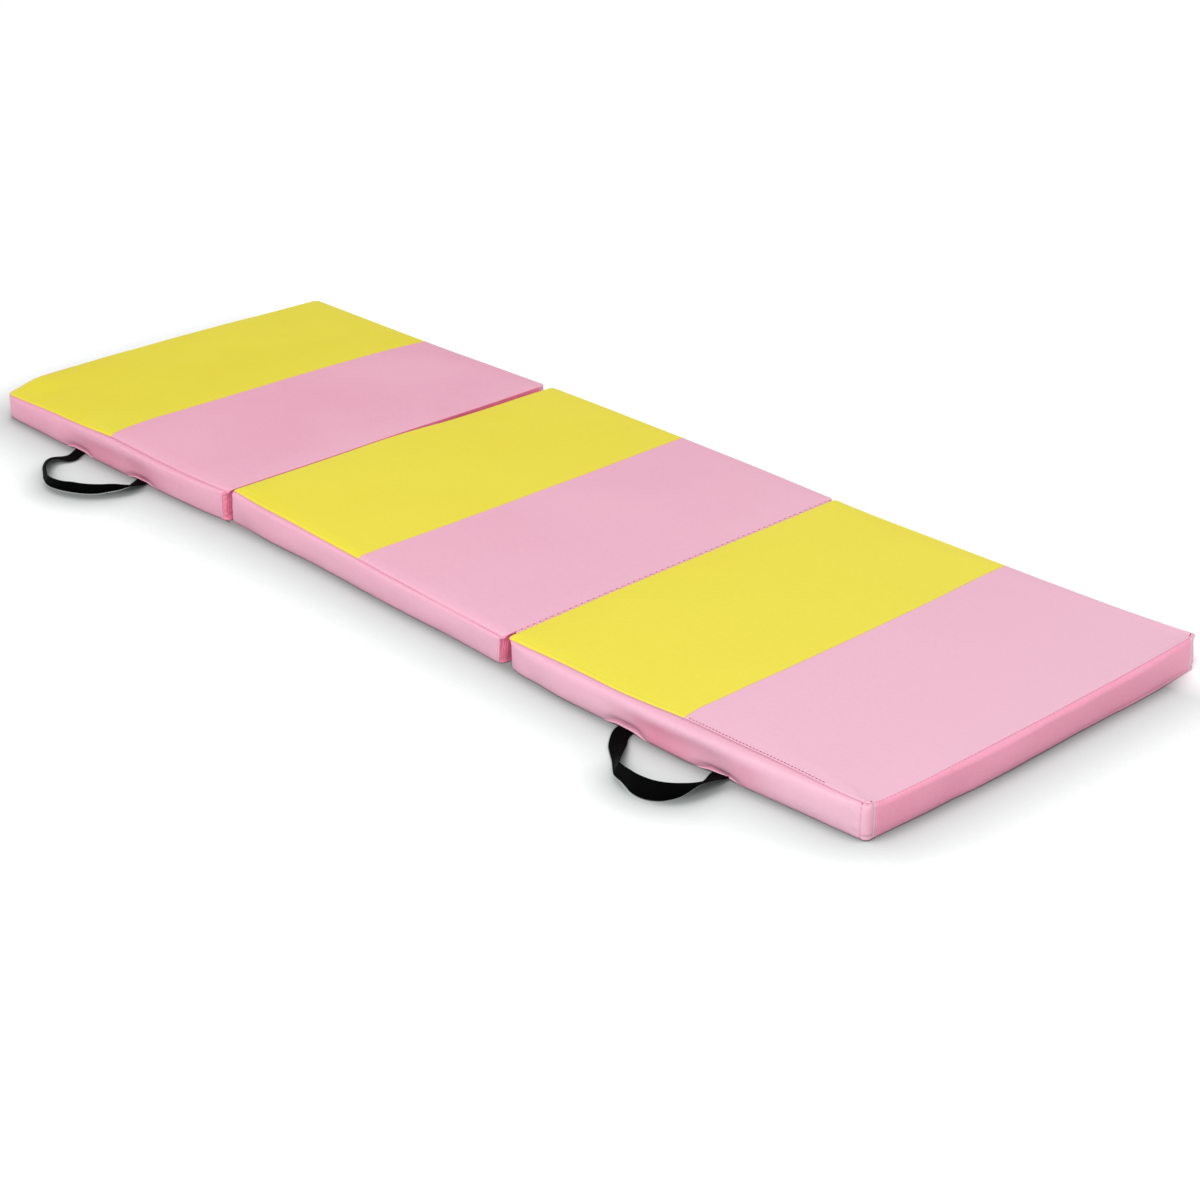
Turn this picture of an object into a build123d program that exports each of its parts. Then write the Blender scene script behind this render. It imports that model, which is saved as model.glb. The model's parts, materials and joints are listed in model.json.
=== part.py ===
from build123d import *
import os

# Folding exercise mat: three padded panels in a row, joined by two fabric hinges that fold
# opposite ways, with two webbing carry handles on the front edge and a zip in the back of
# each panel.
#
# Frame: millimetres, +X along the length, -Y is the handle side, +Y the zip side, +Z up.
# Origin: plan centre of the open mat, on the floor (the underside of the panels).

# ---------------------------------------------------------------- mat and panels
LENGTH = 1829.0          # open length, 72 in
WIDTH = 618.0            # 24 in cover, plus what the foam pushes the gussets out
THICK = 43.0             # overall thickness, cover on cover
GAP_LOW = 8.0            # joint between left and middle panel, hinged along the bottom edge
GAP_TOP = 6.0            # joint between middle and right panel, hinged along the top edge
COVER = 1.0              # coated fabric with its backing
R_END = 14.0             # plan corner radius at the free ends of the mat
R_JOINT = 8.0            # plan corner radius beside a joint
FOAM_SLACK = 0.1         # foam to cover
FOAM_BACK = 3.5          # foam to back gusset, room for the inside of the zip slider
OVERCUT = 1.0            # how far a cutting box runs past what it cuts

FRONT = -WIDTH / 2
BACK = WIDTH / 2
PANEL = (LENGTH - GAP_LOW - GAP_TOP) / 3.0
LEFT_START = -LENGTH / 2
MIDDLE_START = LEFT_START + PANEL + GAP_LOW
RIGHT_START = MIDDLE_START + PANEL + GAP_TOP
SPAN = {                 # x range of each panel
    "left": (LEFT_START, LEFT_START + PANEL),
    "middle": (MIDDLE_START, MIDDLE_START + PANEL),
    "right": (RIGHT_START, RIGHT_START + PANEL),
}
CORNERS = {              # plan corner radii at the left and right end of each panel
    "left": (R_END, R_JOINT),
    "middle": (R_JOINT, R_JOINT),
    "right": (R_JOINT, R_END),
}
# Where the two-colour seam lies from the panel's middle
SPLIT_SHIFT = {"left": 0.0, "middle": 0.0, "right": 6.0}

os.makedirs("parts", exist_ok=True)


# ---------------------------------------------------------------- helpers
def save(name, *shapes):
    solids = [s for shape in shapes for s in shape.solids()]
    part = solids[0] if len(solids) == 1 else Compound(children=solids)
    part.label = name
    export_step(part, f"parts/{name}.step")


def grow(span, margin):
    """A (low, high) range widened at both ends, or narrowed by a negative margin."""
    return (span[0] - margin, span[1] + margin)


def around(centre, half):
    return (centre - half, centre + half)


def mirrored(centre, near, far):
    """Two ranges, above then below the centre, each from near to far away from it."""
    return [(centre + near, centre + far), (centre - far, centre - near)]


def box(x, y, z):
    """Box between two corners: x, y and z are (low, high)."""
    return Pos((x[0] + x[1]) / 2, (y[0] + y[1]) / 2, (z[0] + z[1]) / 2) * Box(
        x[1] - x[0], y[1] - y[0], z[1] - z[0]
    )


def rounded(x, y, z, r_left, r_right):
    """Plate between two corners with its upright edges rounded, one radius per end."""

    def at_right_corner(edge):
        centre = edge.center()
        return abs(centre.X - x[1]) < 1e-3 and min(abs(centre.Y - side) for side in y) < 1e-3

    solid = box(x, y, z)
    solid = fillet(solid.edges().filter_by(Axis.Z).sort_by(Axis.X)[:2], r_left)
    upright = solid.edges().filter_by(Axis.Z).filter_by(lambda e: e.geom_type == GeomType.LINE)
    return fillet([e for e in upright if at_right_corner(e)], r_right)


# ---------------------------------------------------------------- handles
WEB_W = 26.0             # webbing width
WEB_T = 1.8              # webbing thickness
WEB_SLOT = 0.5           # play of the webbing in the seam, at each side
WEB_SLOT_TOP = 0.2       # play above the webbing in the seam
HANDLE_AXIS_OUT = 1.6    # swing line of a handle, out from the front gusset
HANDLE_AXIS_Z = 2.0
HANDLE_START = 0.9       # strap starts this far out from its swing line
FLOOR_CLEAR = 0.1        # no part of a strap lies lower than this
STRAP_STEPS = 3          # strap sections per pair of stations

TAIL_IN = 24.0           # sewn-in length behind the gusset
TAIL_OUT = 0.8           # length of tail in front of the gusset
TACK_STARTS = (5, 16)    # front edges of the two bar tacks, in from the gusset
TACK_L = 3
TACK_T = 0.5
TACK_INSET = 2           # tack end to tail side
DENT_SIDE = 1            # foam to tail, at the sides and the inner end
DENT_TOP = 1.0           # foam to tail, above

STRAP_Y = FRONT - HANDLE_AXIS_OUT - HANDLE_START
TAIL_Z = around(HANDLE_AXIS_Z, WEB_T / 2)

# Each strap is one flat band. It leaves the seam lying flat, twists to stand on its lower
# edge through the grip, and comes back to the seam flat.
# Each station is (x, y, z) of the low edge, then (x, y, z) of the high edge.
STRAP = {
    "right": [
        ((522, STRAP_Y, 2.0), (548, STRAP_Y, 2.0)), ((525, -330, 1.5), (551, -329, 2.5)),
        ((535, -350, 1.1), (559, -343, 5)), ((552, -366, 1), (572, -355, 12)),
        ((577, -386, 1), (589, -373, 19.5)), ((594, -400, 1), (601, -391, 24)),
        ((613, -411, 1), (614, -406, 26.5)), ((635, -419, 1), (635, -418, 27)),
        ((656, -423, 1), (656, -420, 26.7)), ((675, -421, 1), (675, -418, 27)),
        ((687, -412, 1), (690, -412, 27)), ((695, -395, 1), (703, -398, 25.5)),
        ((697, -377, 1), (711, -380, 22)), ((694, -358, 1), (713, -361, 18)),
        ((689, -340, 1.2), (712, -342, 12)), ((683, -324, 1.7), (709, -324, 5)),
        ((681, STRAP_Y, 2.0), (707, STRAP_Y, 2.0)),
    ],
    "left": [
        ((-709, STRAP_Y, 2.0), (-683, STRAP_Y, 2.0)), ((-703, -327, 1.5), (-677, -326, 3)),
        ((-699, -342, 1.1), (-673, -340, 2.5)), ((-700, -357, 1), (-675, -358, 6)),
        ((-696, -374, 1), (-675, -370, 14)), ((-681, -390, 1), (-665, -379, 18.5)),
        ((-661, -404, 1), (-650, -390, 20.5)), ((-640, -415, 1), (-634, -402, 23)),
        ((-617, -422, 1), (-614, -416, 26)), ((-596, -424, 1), (-595, -427, 26.5)),
        ((-579, -420, 1), (-577, -429, 25)), ((-562, -412, 1), (-557, -421, 25)),
        ((-546, -401, 1), (-538, -410, 23.5)), ((-534, -387, 1), (-521, -394, 22)),
        ((-527, -371, 1), (-510, -377, 19.5)), ((-524, -354, 1.2), (-503, -358, 15.5)),
        ((-527, -336, 1.4), (-502, -338, 9.5)), ((-534, -322, 1.8), (-508, -322, 4)),
        ((-539, STRAP_Y, 2.0), (-513, STRAP_Y, 2.0)),
    ],
}
# x ranges of the two tails of each handle, in line with the ends of its strap
TAILS = {
    side: [(low[0], high[0]) for low, high in (stations[0], stations[-1])]
    for side, stations in STRAP.items()
}


def smooth(points):
    """Catmull-Rom points between the stations, each station kept."""
    padded = [points[0]] + list(points) + [points[-1]]
    out = []
    for a, b, c, d in zip(padded, padded[1:], padded[2:], padded[3:]):
        for k in range(STRAP_STEPS):
            t = k / STRAP_STEPS
            linear = (c - a) * t
            square = (a * 2.0 - b * 5.0 + c * 4.0 - d) * t**2
            cubic = (b * 3.0 - a - c * 3.0 + d) * t**3
            out.append(0.5 * (b * 2.0 + linear + square + cubic))
    out.append(points[-1])
    return out


def strap(stations):
    """Ruled loft of webbing sections, each lifted clear of the floor where needed."""
    lows = smooth([Vector(*low) for low, _ in stations])
    highs = smooth([Vector(*high) for _, high in stations])
    mids = [(low + high) * 0.5 for low, high in zip(lows, highs)]
    sections = []
    for i, (low, high, mid) in enumerate(zip(lows, highs, mids)):
        if i == 0:
            along = Vector(0, -1, 0)
        elif i == len(mids) - 1:
            along = Vector(0, 1, 0)
        else:
            along = mids[i + 1] - mids[i - 1]
        across = (high - low).normalized()
        face = across.cross(along).normalized() * (WEB_T / 2)
        start, end = mid - across * (WEB_W / 2), mid + across * (WEB_W / 2)
        corners = [start - face, end - face, end + face, start + face]
        lift = Vector(0, 0, max(0.0, FLOOR_CLEAR - min(c.Z for c in corners)))
        sections.append(Wire.make_polygon([c + lift for c in corners], close=True))
    return Solid.make_loft(sections, ruled=True)


def save_handle(side):
    tails = TAILS[side]
    save(f"{side}_handle_strap", strap(STRAP[side]))
    tail_y = (FRONT - TAIL_OUT, FRONT + TAIL_IN)
    save(f"{side}_handle_sewn_tails", *[box(tail, tail_y, TAIL_Z) for tail in tails])
    # Bar tacks: the dense thread bars across each tail that take the pull of the handle
    tack_z = (TAIL_Z[1], TAIL_Z[1] + TACK_T)
    save(
        f"{side}_handle_bar_tacks",
        *[
            box(grow(tail, -TACK_INSET), (FRONT + start, FRONT + start + TACK_L), tack_z)
            for tail in tails
            for start in TACK_STARTS
        ],
    )


# ---------------------------------------------------------------- zip dimensions
ZIP_Z = 21.5             # zip centre height
ZIP_Y = BACK - COVER     # inside face of the back gusset
ZIP_WINDOW = 14.0        # opening between the two back strips
ZIP_END = 27.0           # from panel end to zip opening
TAPE_W = 9.0
TAPE_T = 0.8
TAPE_OVERLAP = 4         # tape past each end of the opening
COIL_HALF = 3.0          # from zip centre to the outer edge of one coil
COIL_GAP = 0.4           # from zip centre to the inner edge of one coil
COIL_Y = (ZIP_Y - 1.6, ZIP_Y + 0.8)
STOP_L = 2.5
STOP_GAP = 1             # end of the opening to end stop
STOP_Y = (ZIP_Y - 2.0, ZIP_Y + 1.2)

SLIDER_L = 11.0
SLIDER_HALF = 4.6        # half the slider's height
SLIDER_R = 2.0           # corner radius of its plates
SLIDER_PARK = 1          # slider to the right end of the coils
OUTER_Y = (ZIP_Y + 1.0, ZIP_Y + 2.2)
INNER_Y = (ZIP_Y - 3.1, ZIP_Y - 1.8)
SLIDER_WEB_Y = (ZIP_Y - 1.9, ZIP_Y + 1.1)
SLIDER_WEB_HALF_L = 2
SLIDER_WEB_HALF_T = 0.25
LIP_HALF_L = 3.4
LIP_NEAR = 3.4           # zip centre to the inner face of a slider lip
LIP_Y = (ZIP_Y + 0.2, ZIP_Y + 1.1)
POST_NEAR, POST_FAR = 2.7, 4.1   # slider centre to the near and far face of a bridge post
POST_Y = (OUTER_Y[1] - 0.1, ZIP_Y + 4.6)
BRIDGE_Y = (ZIP_Y + 4.5, ZIP_Y + 5.6)
BRIDGE_Z = around(ZIP_Z, 1)

PULL_L = 25.0            # slider centre to the free end of the pull
PULL_W = 8.0
PULL_T = 1.4
PULL_Y = ZIP_Y + 3.4     # middle of the pull's thickness
CROSS_R = 0.6            # radius of the pull's cross bar
ARM_END = 7.0            # slider centre to the end of the arms
ARM_NEAR = 2.2           # zip centre to the inner face of an arm
TAB_START = 5.6          # slider centre to the tab, which overlaps the arms
TAB_R = 3.0
HOLE_R = 1.6
HOLE_IN = 5.5            # hole centre to the free end of the pull
HOLE_CUT = 4             # length of the cutter for the hole


# ---------------------------------------------------------------- panel pieces
def panel_slab(name, z, inset=0.0, y_back=BACK):
    """Panel outline as a plate, drawn in by inset at the ends, front and corners."""
    r_left, r_right = CORNERS[name]
    return rounded(
        grow(SPAN[name], -inset), (FRONT + inset, y_back), z, r_left - inset, r_right - inset
    )


def save_foam(name):
    """Foam core, loose in the cover, dented over the sewn-in tails of a handle."""
    inset = COVER + FOAM_SLACK
    foam = panel_slab(name, (inset, THICK - inset), inset, BACK - COVER - FOAM_BACK)
    dent_y = (FRONT - OVERCUT, FRONT + TAIL_IN + DENT_SIDE)
    for tail in TAILS.get(name, []):
        foam -= box(grow(tail, DENT_SIDE), dent_y, (0, TAIL_Z[1] + DENT_TOP))
    save(f"{name}_foam_core", foam)


def save_sheets(name):
    """Bottom sheet, and the top as two halves that meet at the colour seam."""
    x0, x1 = SPAN[name]
    split = (x0 + x1) / 2 + SPLIT_SHIFT[name]
    save(f"{name}_bottom_sheet", panel_slab(name, (0, COVER)))
    top = panel_slab(name, (THICK - COVER, THICK))
    cut_y = grow((FRONT, BACK), OVERCUT)
    cut_z = (0, THICK + OVERCUT)
    save(f"{name}_top_yellow", top & box((x0 - OVERCUT, split), cut_y, cut_z))
    save(f"{name}_top_pink", top & box((split, x1 + OVERCUT), cut_y, cut_z))


def save_gussets(name):
    """Gusset ring between the sheets, cut into the pieces it is sewn from."""
    x0, x1 = SPAN[name]
    z = (COVER, THICK - COVER)
    full_x = grow(SPAN[name], OVERCUT)
    ring = panel_slab(name, z) - panel_slab(name, z, COVER, BACK - COVER)

    front = ring & box(full_x, (FRONT - OVERCUT, FRONT + R_END), z)
    slot_y = (FRONT - OVERCUT, FRONT + COVER + OVERCUT)
    for tail in TAILS.get(name, []):
        front -= box(grow(tail, WEB_SLOT), slot_y, (0, TAIL_Z[1] + WEB_SLOT_TOP))
    save(f"{name}_front_gusset", front)

    wall_y = (FRONT + R_END, BACK - R_END)
    save(f"{name}_left_wall", ring & box((x0 - OVERCUT, x0 + 3), wall_y, z))
    save(f"{name}_right_wall", ring & box((x1 - 3, x1 + OVERCUT), wall_y, z))

    window = box(
        grow(SPAN[name], -ZIP_END), (BACK - 4, BACK + OVERCUT), around(ZIP_Z, ZIP_WINDOW / 2)
    )
    back = (ring & box(full_x, (BACK - R_END, BACK + OVERCUT), z)) - window
    back_y = (0, BACK + OVERCUT)
    save(f"{name}_back_gusset_lower", back & box(full_x, back_y, (0, ZIP_Z)))
    save(f"{name}_back_gusset_upper", back & box(full_x, back_y, (ZIP_Z, THICK)))


def slider(x):
    """Two plates joined by a web between the coils, with lips and a bridge for the pull."""
    plate_x = around(x, SLIDER_L / 2)
    plate_z = around(ZIP_Z, SLIDER_HALF)
    outer, inner = [
        fillet(plate.edges().filter_by(Axis.Y), SLIDER_R)
        for plate in (box(plate_x, OUTER_Y, plate_z), box(plate_x, INNER_Y, plate_z))
    ]
    web = box(around(x, SLIDER_WEB_HALF_L), SLIDER_WEB_Y, around(ZIP_Z, SLIDER_WEB_HALF_T))
    body = outer + inner + web
    for lip_z in mirrored(ZIP_Z, LIP_NEAR, SLIDER_HALF):
        body += box(around(x, LIP_HALF_L), LIP_Y, lip_z)
    for post_x in reversed(mirrored(x, POST_NEAR, POST_FAR)):
        body += box(post_x, POST_Y, BRIDGE_Z)
    return body + box(around(x, POST_FAR), BRIDGE_Y, BRIDGE_Z)


def pull(x):
    """Cross bar under the bridge, two arms, and a rounded tab with a hole."""
    y = around(PULL_Y, PULL_T / 2)
    body = Pos(x, PULL_Y, ZIP_Z) * Cylinder(CROSS_R, PULL_W)
    for arm_z in mirrored(ZIP_Z, ARM_NEAR, PULL_W / 2):
        body += box((x - CROSS_R, x + ARM_END), y, arm_z)
    tab = box((x + TAB_START, x + PULL_L), y, around(ZIP_Z, PULL_W / 2))
    tab = fillet(tab.edges().filter_by(Axis.Y).sort_by(Axis.X)[-2:], TAB_R)
    hole = Rot(90, 0, 0) * Cylinder(HOLE_R, HOLE_CUT)
    tab -= Pos(x + PULL_L - HOLE_IN, PULL_Y, ZIP_Z) * hole
    return body + tab


def save_zip(name):
    tape_x = grow(SPAN[name], TAPE_OVERLAP - ZIP_END)
    tape_z = mirrored(ZIP_Z, COIL_HALF, COIL_HALF + TAPE_W)
    save(f"{name}_zip_tapes", *[box(tape_x, (ZIP_Y - TAPE_T, ZIP_Y), z) for z in tape_z])

    coil_x = grow(SPAN[name], -(ZIP_END + STOP_L + STOP_GAP))
    coil_z = mirrored(ZIP_Z, COIL_GAP, COIL_HALF)
    save(f"{name}_zip_coils", *[box(coil_x, COIL_Y, z) for z in coil_z])

    stop_x = ((coil_x[0] - STOP_L, coil_x[0]), (coil_x[1], coil_x[1] + STOP_L))
    stop_z = around(ZIP_Z, COIL_HALF)
    save(f"{name}_zip_end_stops", *[box(x, STOP_Y, stop_z) for x in stop_x])

    # The slider is parked at the right end, zip shut
    slider_x = coil_x[1] - SLIDER_L / 2 - SLIDER_PARK
    save(f"{name}_zip_slider", slider(slider_x))
    save(f"{name}_zip_pull", pull(slider_x))


# ---------------------------------------------------------------- hinge strips
# Each hinge is one fabric strip sewn to both panels. It is made as two leaves that meet at
# the fold line, so each leaf stays with its own panel.
STRIP_LIP = 9.0          # seam allowance, sewn to the end wall
STRIP_T = 0.9
FOLD_CLEAR = 0.15        # leaf to fold line
STRIP_Y = grow((FRONT, BACK), -(R_JOINT + 2))


def leaf(wall_x, fold_x, z_face, up):
    """Flat web out to the fold line, and a lip turned along the end wall.

    up is +1 when the lip stands up from the bottom edge, -1 when it hangs from the top edge.
    """
    out = 1 if fold_x > wall_x else -1
    web_z = sorted((z_face, z_face + up * STRIP_T))
    lip_z = sorted((z_face, z_face + up * STRIP_LIP))
    web = box(sorted((wall_x, fold_x - out * FOLD_CLEAR)), STRIP_Y, web_z)
    lip = box(sorted((wall_x, wall_x + out * STRIP_T)), STRIP_Y, lip_z)
    return web + lip


def save_hinge(hinge, left_panel, right_panel, z_face, up):
    left_wall, right_wall = SPAN[left_panel][1], SPAN[right_panel][0]
    fold_x = (left_wall + right_wall) / 2
    for panel, wall_x in ((left_panel, left_wall), (right_panel, right_wall)):
        save(f"{hinge}_hinge_leaf_on_{panel}_panel", leaf(wall_x, fold_x, z_face, up))


# ---------------------------------------------------------------- build
for side in STRAP:
    save_handle(side)
for name in SPAN:
    save_foam(name)
    save_sheets(name)
    save_gussets(name)
    save_zip(name)
save_hinge("left", "left", "middle", 0.0, 1)
save_hinge("right", "middle", "right", THICK, -1)
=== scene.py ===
import json
import math
import bpy
import numpy as np
from mathutils import Vector, Matrix
from mathutils.bvhtree import BVHTree

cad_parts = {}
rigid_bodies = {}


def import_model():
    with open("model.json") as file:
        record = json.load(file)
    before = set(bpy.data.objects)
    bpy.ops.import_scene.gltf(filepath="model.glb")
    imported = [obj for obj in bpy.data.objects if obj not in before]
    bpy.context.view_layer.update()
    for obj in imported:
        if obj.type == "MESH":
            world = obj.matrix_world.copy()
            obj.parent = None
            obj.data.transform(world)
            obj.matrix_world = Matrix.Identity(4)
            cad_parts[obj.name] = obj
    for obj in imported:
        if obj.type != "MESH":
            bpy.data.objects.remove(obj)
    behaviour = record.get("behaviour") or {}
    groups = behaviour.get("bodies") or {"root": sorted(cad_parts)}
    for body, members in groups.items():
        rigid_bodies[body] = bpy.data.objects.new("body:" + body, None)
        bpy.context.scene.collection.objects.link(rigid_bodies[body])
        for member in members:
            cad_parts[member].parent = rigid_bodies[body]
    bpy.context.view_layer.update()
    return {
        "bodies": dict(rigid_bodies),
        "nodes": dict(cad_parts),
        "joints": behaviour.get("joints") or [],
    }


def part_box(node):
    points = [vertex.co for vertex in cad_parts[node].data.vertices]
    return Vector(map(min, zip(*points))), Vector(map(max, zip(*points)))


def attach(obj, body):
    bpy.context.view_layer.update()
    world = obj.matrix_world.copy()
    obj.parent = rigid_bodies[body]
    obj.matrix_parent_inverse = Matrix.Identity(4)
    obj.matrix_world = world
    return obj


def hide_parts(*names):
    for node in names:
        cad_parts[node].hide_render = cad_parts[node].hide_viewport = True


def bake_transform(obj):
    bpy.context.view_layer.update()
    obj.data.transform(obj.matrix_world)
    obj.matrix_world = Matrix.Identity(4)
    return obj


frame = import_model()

SC = bpy.context.scene
COLL = SC.collection
MM = 0.001
NAMES = ("left", "middle", "right")

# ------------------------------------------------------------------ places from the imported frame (mm)
joint = {j["name"]: j for j in frame["joints"]}


def cad(node):
    lo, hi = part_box(node)
    return np.array(lo) * 1000, np.array(hi) * 1000


X0, X1 = {}, {}
for n in NAMES:
    lo, hi = cad(f"{n}_bottom_sheet")
    X0[n], X1[n] = lo[0], hi[0]
    FRONT, BACK = lo[1], hi[1]
T = cad("middle_top_pink")[1][2]
FOLD1 = joint["left_fold"]["pos_m"][0] * 1000
FOLD2 = joint["middle_fold"]["pos_m"][0] * 1000
AX1 = joint["left_fold"]["pos_m"][2] * 1000
AX2 = joint["middle_fold"]["pos_m"][2] * 1000
SPLIT = {n: cad(f"{n}_top_yellow")[1][0] for n in NAMES}
COIL = {n: cad(f"{n}_zip_coils") for n in NAMES}
TAPE = {n: cad(f"{n}_zip_tapes") for n in NAMES}
ZIPZ = (COIL["middle"][0][2] + COIL["middle"][1][2]) / 2
WIN_HALF = 7.0
YB = TAPE["middle"][1][1]


# ------------------------------------------------------------------ small tools
def ease(x, xs, ys):
    """Cosine-eased interpolation through control points."""
    x = np.asarray(x, float)
    xs, ys = np.asarray(xs, float), np.asarray(ys, float)
    i = np.clip(np.searchsorted(xs, x) - 1, 0, len(xs) - 2)
    t = np.clip((x - xs[i]) / (xs[i + 1] - xs[i]), 0, 1)
    t = t * t * (3 - 2 * t)
    return ys[i] * (1 - t) + ys[i + 1] * t


def curve(x, pairs):
    """Smooth curve through control points, without flat spots at them."""
    x = np.asarray(x, float)
    xs = np.array([p[0] for p in pairs], float)
    ys = np.array([p[1] for p in pairs], float)
    m = np.gradient(ys, xs)
    i = np.clip(np.searchsorted(xs, x) - 1, 0, len(xs) - 2)
    h = xs[i + 1] - xs[i]
    t = np.clip((x - xs[i]) / h, 0, 1)
    t2, t3 = t * t, t * t * t
    return (2 * t3 - 3 * t2 + 1) * ys[i] + (t3 - 2 * t2 + t) * h * m[i] + (3 * t2 - 2 * t3) * ys[i + 1] + (t3 - t2) * h * m[i + 1]


def wave1(p, seed, length, n=5):
    """Smooth noise along a line, about -1 to 1."""
    r = np.random.RandomState(seed)
    out = 0
    for k in range(n):
        out = out + np.sin(2 * math.pi * np.asarray(p) / (length * r.uniform(0.6, 1.7)) + r.uniform(0, 6.28))
    return out / math.sqrt(n) * 0.8


def wave2(x, y, seed, length, n=9):
    r = np.random.RandomState(seed)
    out = 0
    for k in range(n):
        a = r.uniform(0, 2 * math.pi)
        out = out + np.sin(
            2 * math.pi * (np.asarray(x) * math.cos(a) + np.asarray(y) * math.sin(a)) / (length * r.uniform(0.6, 1.6))
            + r.uniform(0, 6.28)
        )
    return out / math.sqrt(n) * 0.8


def catmull(a, f, axis, closed=False):
    """Catmull-Rom upsampling of array a by a whole factor f along an axis. Keeps every given sample."""
    a = np.moveaxis(np.asarray(a, float), axis, 0)
    n = len(a)
    if closed:
        idx = np.arange(n)
        p0, p1, p2, p3 = a[(idx - 1) % n], a[idx], a[(idx + 1) % n], a[(idx + 2) % n]
    else:
        e = np.concatenate([[2 * a[0] - a[1]], a, [2 * a[-1] - a[-2]]])
        p0, p1, p2, p3 = e[:-3], e[1:-2], e[2:-1], e[3:]
    parts = []
    for k in range(f):
        t = k / f
        parts.append(
            0.5 * (2 * p1 + (p2 - p0) * t + (2 * p0 - 5 * p1 + 4 * p2 - p3) * t**2 + (3 * p1 - p0 - 3 * p2 + p3) * t**3)
        )
    out = np.stack(parts, 1).reshape((-1,) + a.shape[1:])
    if not closed:
        out = np.concatenate([out, a[-1:]])
    return np.moveaxis(out, 0, axis)


def linear(a, f, axis, closed=False, period=None):
    a = np.moveaxis(np.asarray(a, float), axis, 0)
    if closed:
        nxt = np.roll(a, -1, 0).copy()
        if period is not None:
            nxt[-1] = a[0] + period
    else:
        nxt = np.concatenate([a[1:], a[-1:]])
    out = np.stack([a + (nxt - a) * k / f for k in range(f)], 1).reshape((-1,) + a.shape[1:])
    if not closed:
        out = out[: (len(a) - 1) * f + 1]
    return np.moveaxis(out, 0, axis)


def normals(P, closed=False):
    """Unit normals of a grid of points (first axis across second axis)."""
    if closed:
        du = np.roll(P, -1, 0) - np.roll(P, 1, 0)
    else:
        du = np.gradient(P, axis=0)
    dv = np.gradient(P, axis=1)
    n = np.cross(du, dv)
    return n / np.maximum(np.linalg.norm(n, axis=2, keepdims=True), 1e-9)


def new_object(name, verts_mm, faces, mat, smooth=True):
    me = bpy.data.meshes.new(name)
    me.from_pydata((np.asarray(verts_mm, float) * MM).tolist(), [], [list(map(int, f)) for f in faces])
    me.update()
    if smooth:
        me.polygons.foreach_set("use_smooth", [True] * len(me.polygons))
    ob = bpy.data.objects.new(name, me)
    COLL.objects.link(ob)
    if mat is not None:
        me.materials.append(mat)
    return ob


def grid_faces(n, m, closed=False, mask=None):
    """Quads of an n by m grid of points, index i*m+j. mask(i, j) arrays say which quads to keep."""
    I, J = np.meshgrid(np.arange(n if closed else n - 1), np.arange(m - 1), indexing="ij")
    I2 = (I + 1) % n
    q = np.stack([I * m + J, I2 * m + J, I2 * m + J + 1, I * m + J + 1], -1)
    keep = np.ones(I.shape, bool) if mask is None else mask
    return q[keep]


def sheet(name, P, mat, thick=0.8, mask=None, flip=False, rich=None):
    """A thin closed shell: the outer surface P (grid of points), an inner one thick below it, and a rim."""
    n, m = P.shape[:2]
    N = normals(P)
    if flip:
        N = -N
    Q = P - N * thick
    q = grid_faces(n, m, mask=mask)
    used = np.unique(q)
    new = -np.ones(n * m, int)
    new[used] = np.arange(len(used))
    V = np.concatenate([P.reshape(-1, 3)[used], Q.reshape(-1, 3)[used]])
    q = new[q]
    k = len(used)
    outer = q[:, ::-1] if flip else q
    inner = (q if flip else q[:, ::-1]) + k
    e = np.concatenate([outer[:, [0, 1]], outer[:, [1, 2]], outer[:, [2, 3]], outer[:, [3, 0]]])
    key = {}
    for a, b in e.tolist():
        key[(a, b)] = True
    rim = [(b, a, a + k, b + k) for a, b in key if (b, a) not in key]
    faces = np.concatenate([outer, inner]).tolist() + rim
    ob = new_object(name, V, faces, mat)
    me = ob.data
    flat = [len(outer) + len(inner) <= i for i in range(len(me.polygons))]
    me.polygons.foreach_set("use_smooth", [not f for f in flat])
    # painted shade weights, one per point, read by the cover material
    if rich is not None:
        r = np.clip(rich.reshape(-1)[used], 0, 1)
        me.attributes.new("rich", "FLOAT", "POINT").data.foreach_set("value", np.r_[r, r].astype(np.float32))
    return ob


def capsules(name, A, B, side, up, r_side, r_up, mat, rings=5, seg=6, sag=0.0):
    """Many little rounded bars from A to B (arrays of points), as one mesh. side and up are unit vectors per bar."""
    A, B, side, up = (np.asarray(v, float) for v in (A, B, side, up))
    k = len(A)
    t = np.linspace(0, 1, rings + 2)[1:-1]
    prof = np.sqrt(np.maximum(0, 1 - (2 * t - 1) ** 2))
    prof = np.maximum(prof, 0.35) ** 0.6
    ang = np.arange(seg) * 2 * math.pi / seg
    V = np.zeros((k, rings * seg + 2, 3))
    V[:, 0], V[:, -1] = A - up * sag, B - up * sag
    for i in range(rings):
        c = A + (B - A) * t[i] - (up * (sag * (2 * t[i] - 1) ** 2))
        for j in range(seg):
            V[:, 1 + i * seg + j] = c + side * (math.cos(ang[j]) * prof[i] * r_side) + up * (
                math.sin(ang[j]) * prof[i] * r_up
            )
    F = []
    for j in range(seg):
        F.append((0, 1 + (j + 1) % seg, 1 + j))
        F.append((rings * seg + 1, 1 + (rings - 1) * seg + j, 1 + (rings - 1) * seg + (j + 1) % seg))
    Q = []
    for i in range(rings - 1):
        for j in range(seg):
            a, b = 1 + i * seg + j, 1 + i * seg + (j + 1) % seg
            Q.append((a, b, b + seg, a + seg))
    per = rings * seg + 2
    off = (np.arange(k) * per)[:, None, None]
    faces = (np.array(F)[None] + off).reshape(-1, 3).tolist() + (np.array(Q)[None] + off).reshape(-1, 4).tolist()
    return new_object(name, V.reshape(-1, 3), faces, mat)


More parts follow.
